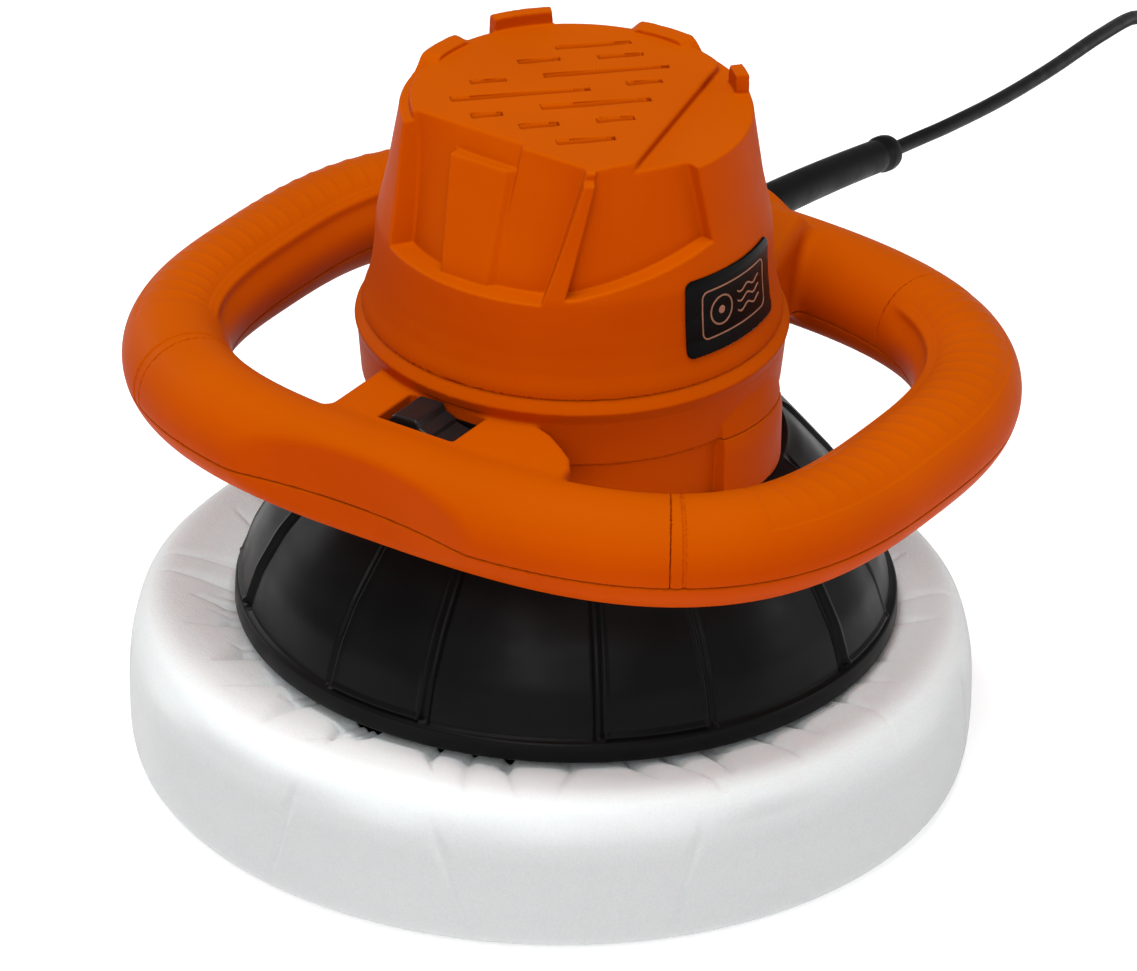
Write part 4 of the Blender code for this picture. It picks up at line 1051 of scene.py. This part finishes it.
def rounded_box(u, v, half_u, half_v, corner):
    """Signed distance to a rounded rectangle."""
    du, dv = np.abs(u) - half_u + corner, np.abs(v) - half_v + corner
    outside = np.hypot(np.maximum(du, 0), np.maximum(dv, 0))
    return outside + np.minimum(np.maximum(du, dv), 0) - corner


def plate_field(x, y, z):
    """Thin plate with rounded corners that follows the collar."""
    u, v, out = label_places(x, y, z)
    return blend_max(rounded_box(u, v, *LABEL_HALF, 2.6), slab(out, 0.05, 0.75), 0.3)


def print_field(x, y, z):
    """Fine raised print: a thin frame, a ringed dot and three wavy bars."""
    u, v, out = label_places(x, y, z)
    edge = np.abs(rounded_box(u, v, 15.5, 7.8, 2.2)) - 0.26
    rho = np.hypot(u + 7.5, v)
    rings = np.minimum(np.abs(rho - 4.6) - 0.30, rho - 1.3)
    wave = 0.7 * np.sin(u * 0.9)
    bars = np.abs((v + wave + 1.6) % 3.2 - 1.6) - 0.32
    bars = np.maximum(np.maximum(bars, np.abs(v) - 4.6), np.abs(u - 6.0) - 6.2)
    return np.maximum(np.minimum(np.minimum(edge, rings), bars), slab(out, 0.5, 0.90))


ROCKER_HALF_DEPTH = 7.5
ROCKER_SIDE = [(-10.8, -0.5), (-3.0, -3.0), (3.0, -3.0), (10.8, -1.5), (11.2, 1.8), (4.5, 3.1),
               (4.0, 4.4), (0.5, 5.8), (-0.5, 7.6), (-1.3, 8.1), (-8.6, 7.9), (-9.8, 7.0),
               (-11.0, 3.4)]


def rocker_field(x, y, z):
    """The rocker: a raised block, a step down and a ramp, with rounded edges."""
    u, v, w = x - WINDOW[0], y - WINDOW[1], z - PIN_Z
    side = outline_field(u, w, ROCKER_SIDE)
    return blend_max(side, np.abs(v) - ROCKER_HALF_DEPTH, 0.9)


def make_trim():
    """The nameplate with its print, and the switch's rocker."""
    plate = solid("label_plate", plate_field, (54, -28, 160), (65, 22, 191), 0.4, LABEL)
    stands_for(plate, HOUSING, "moulded_black", "nameplate")
    mark = solid("label_print", print_field, (56, -21, 165), (65, 15, 186), 0.16, PRINT)
    stands_for(mark, HOUSING, "copper")
    low = (WINDOW[0] - 13, WINDOW[1] - 9, PIN_Z - 5)
    high = (WINDOW[0] + 13, WINDOW[1] + 9, PIN_Z + 12)
    rocker = solid("rocker_cap", rocker_field, low, high, 0.3, ROCKER)
    stands_for(rocker, "rocker", "moulded_black", "switch_rocker")


# ---- camera, floor and light ----
AZIMUTH = radians(33)
ELEVATION = radians(29.05)
ROLL = radians(1.23)
DISTANCE = 3.0
LENS = 305.2
TARGET = Vector((0, 0, 0.09))


def make_camera():
    """The camera at the object's viewing angle, leaning slightly."""
    away = Vector((sin(AZIMUTH) * cos(ELEVATION), -cos(AZIMUTH) * cos(ELEVATION), sin(ELEVATION)))
    right = Vector((cos(AZIMUTH), sin(AZIMUTH), 0))
    up = away.cross(right)
    leaned = right * cos(ROLL) + up * sin(ROLL)
    upward = away.cross(leaned)
    turn = Matrix((leaned, upward, away)).transposed().to_4x4()
    data = bpy.data.cameras.new("camera")
    data.sensor_width = 36.0
    data.sensor_fit = "HORIZONTAL"
    data.lens = LENS
    data.clip_end = 20.0
    camera = bpy.data.objects.new("camera", data)
    camera.matrix_world = Matrix.Translation(TARGET + away * DISTANCE) @ turn
    bpy.context.collection.objects.link(camera)
    bpy.context.scene.camera = camera


def area_light(name, place, aim, size, power):
    """A soft square light."""
    data = bpy.data.lights.new(name, "AREA")
    data.size = size
    data.energy = power
    light = bpy.data.objects.new(name, data)
    light.location = place
    light.rotation_euler = (Vector(aim) - Vector(place)).to_track_quat("-Z", "Y").to_euler()
    bpy.context.collection.objects.link(light)


def make_studio():
    """A pale floor, a pale surround and soft lights."""
    def paper(n):
        tone = n.mix(n.ramp(n.noise(3, 2), 0, 1), (0.90, 0.90, 0.90), (0.92, 0.92, 0.92))
        n.finish(Base_Color=tone, Roughness=0.9, Specular_IOR_Level=0.0,
                 Emission_Color=(1, 1, 1, 1), Emission_Strength=0.42)
    points = [(x, y, -0.0005) for x, y in ((-6, -6), (6, -6), (6, 6), (-6, 6))]
    floor = add_mesh("floor", points, [(0, 1, 2, 3)], material("studio_paper", paper), scale=1)
    world = bpy.data.worlds.new("studio")
    world.use_nodes = True
    surround = world.node_tree.nodes["Background"].inputs
    surround["Color"].default_value = (1, 1, 1, 1)
    surround["Strength"].default_value = 0.28
    bpy.context.scene.world = world
    area_light("top_softbox", (0.10, -0.30, 1.6), (0, 0, 0.1), 1.0, 18)
    area_light("front_key", (0.55, -1.35, 1.05), (0, 0, 0.05), 0.8, 9)
    area_light("rim_right", (1.5, 0.9, 0.7), (0, 0, 0.1), 0.7, 5.5)
    area_light("rim_left", (-1.6, 0.2, 0.6), (0, 0, 0.1), 0.7, 5)
    bpy.context.scene.view_settings.view_transform = "Standard"


# ---- pieces ----
FINE_STEP, PLAIN_STEP = 0.7, 0.85
# Orange mouldings: name, CAD node, field, corners of the space round it, and mesh step.
SHELLS = [
    ("cover_shell", "top_cover", cover_field, (-70, -70, 153), (70, 70, 234), FINE_STEP),
    ("middle_shell", "upper_housing", upper_field, (-104, -116, 124), (104, 122, 160), FINE_STEP),
    ("right_grip", "grip_cover_right", grip_field(1), (20, -106, 124), (140, 106, 153), FINE_STEP),
    ("left_grip", "grip_cover_left", grip_field(-1), (-140, -106, 124), (-20, 106, 153), FINE_STEP),
    ("lower_shell", "lower_housing", lower_field, (-140, -118, 96), (140, 118, 136), PLAIN_STEP),
]


def make_shells():
    """The orange mouldings."""
    for name, node, field, low, high, step in SHELLS:
        shell = solid(name, field, low, high, step, ORANGE)
        stands_for(shell, HOUSING, "moulded_orange", node)


def main():
    finish_cad_nodes()
    make_camera()
    make_cord()
    make_cord_guard()
    make_shells()
    make_skirt()
    make_bonnet()
    make_trim()
    make_studio()


main()
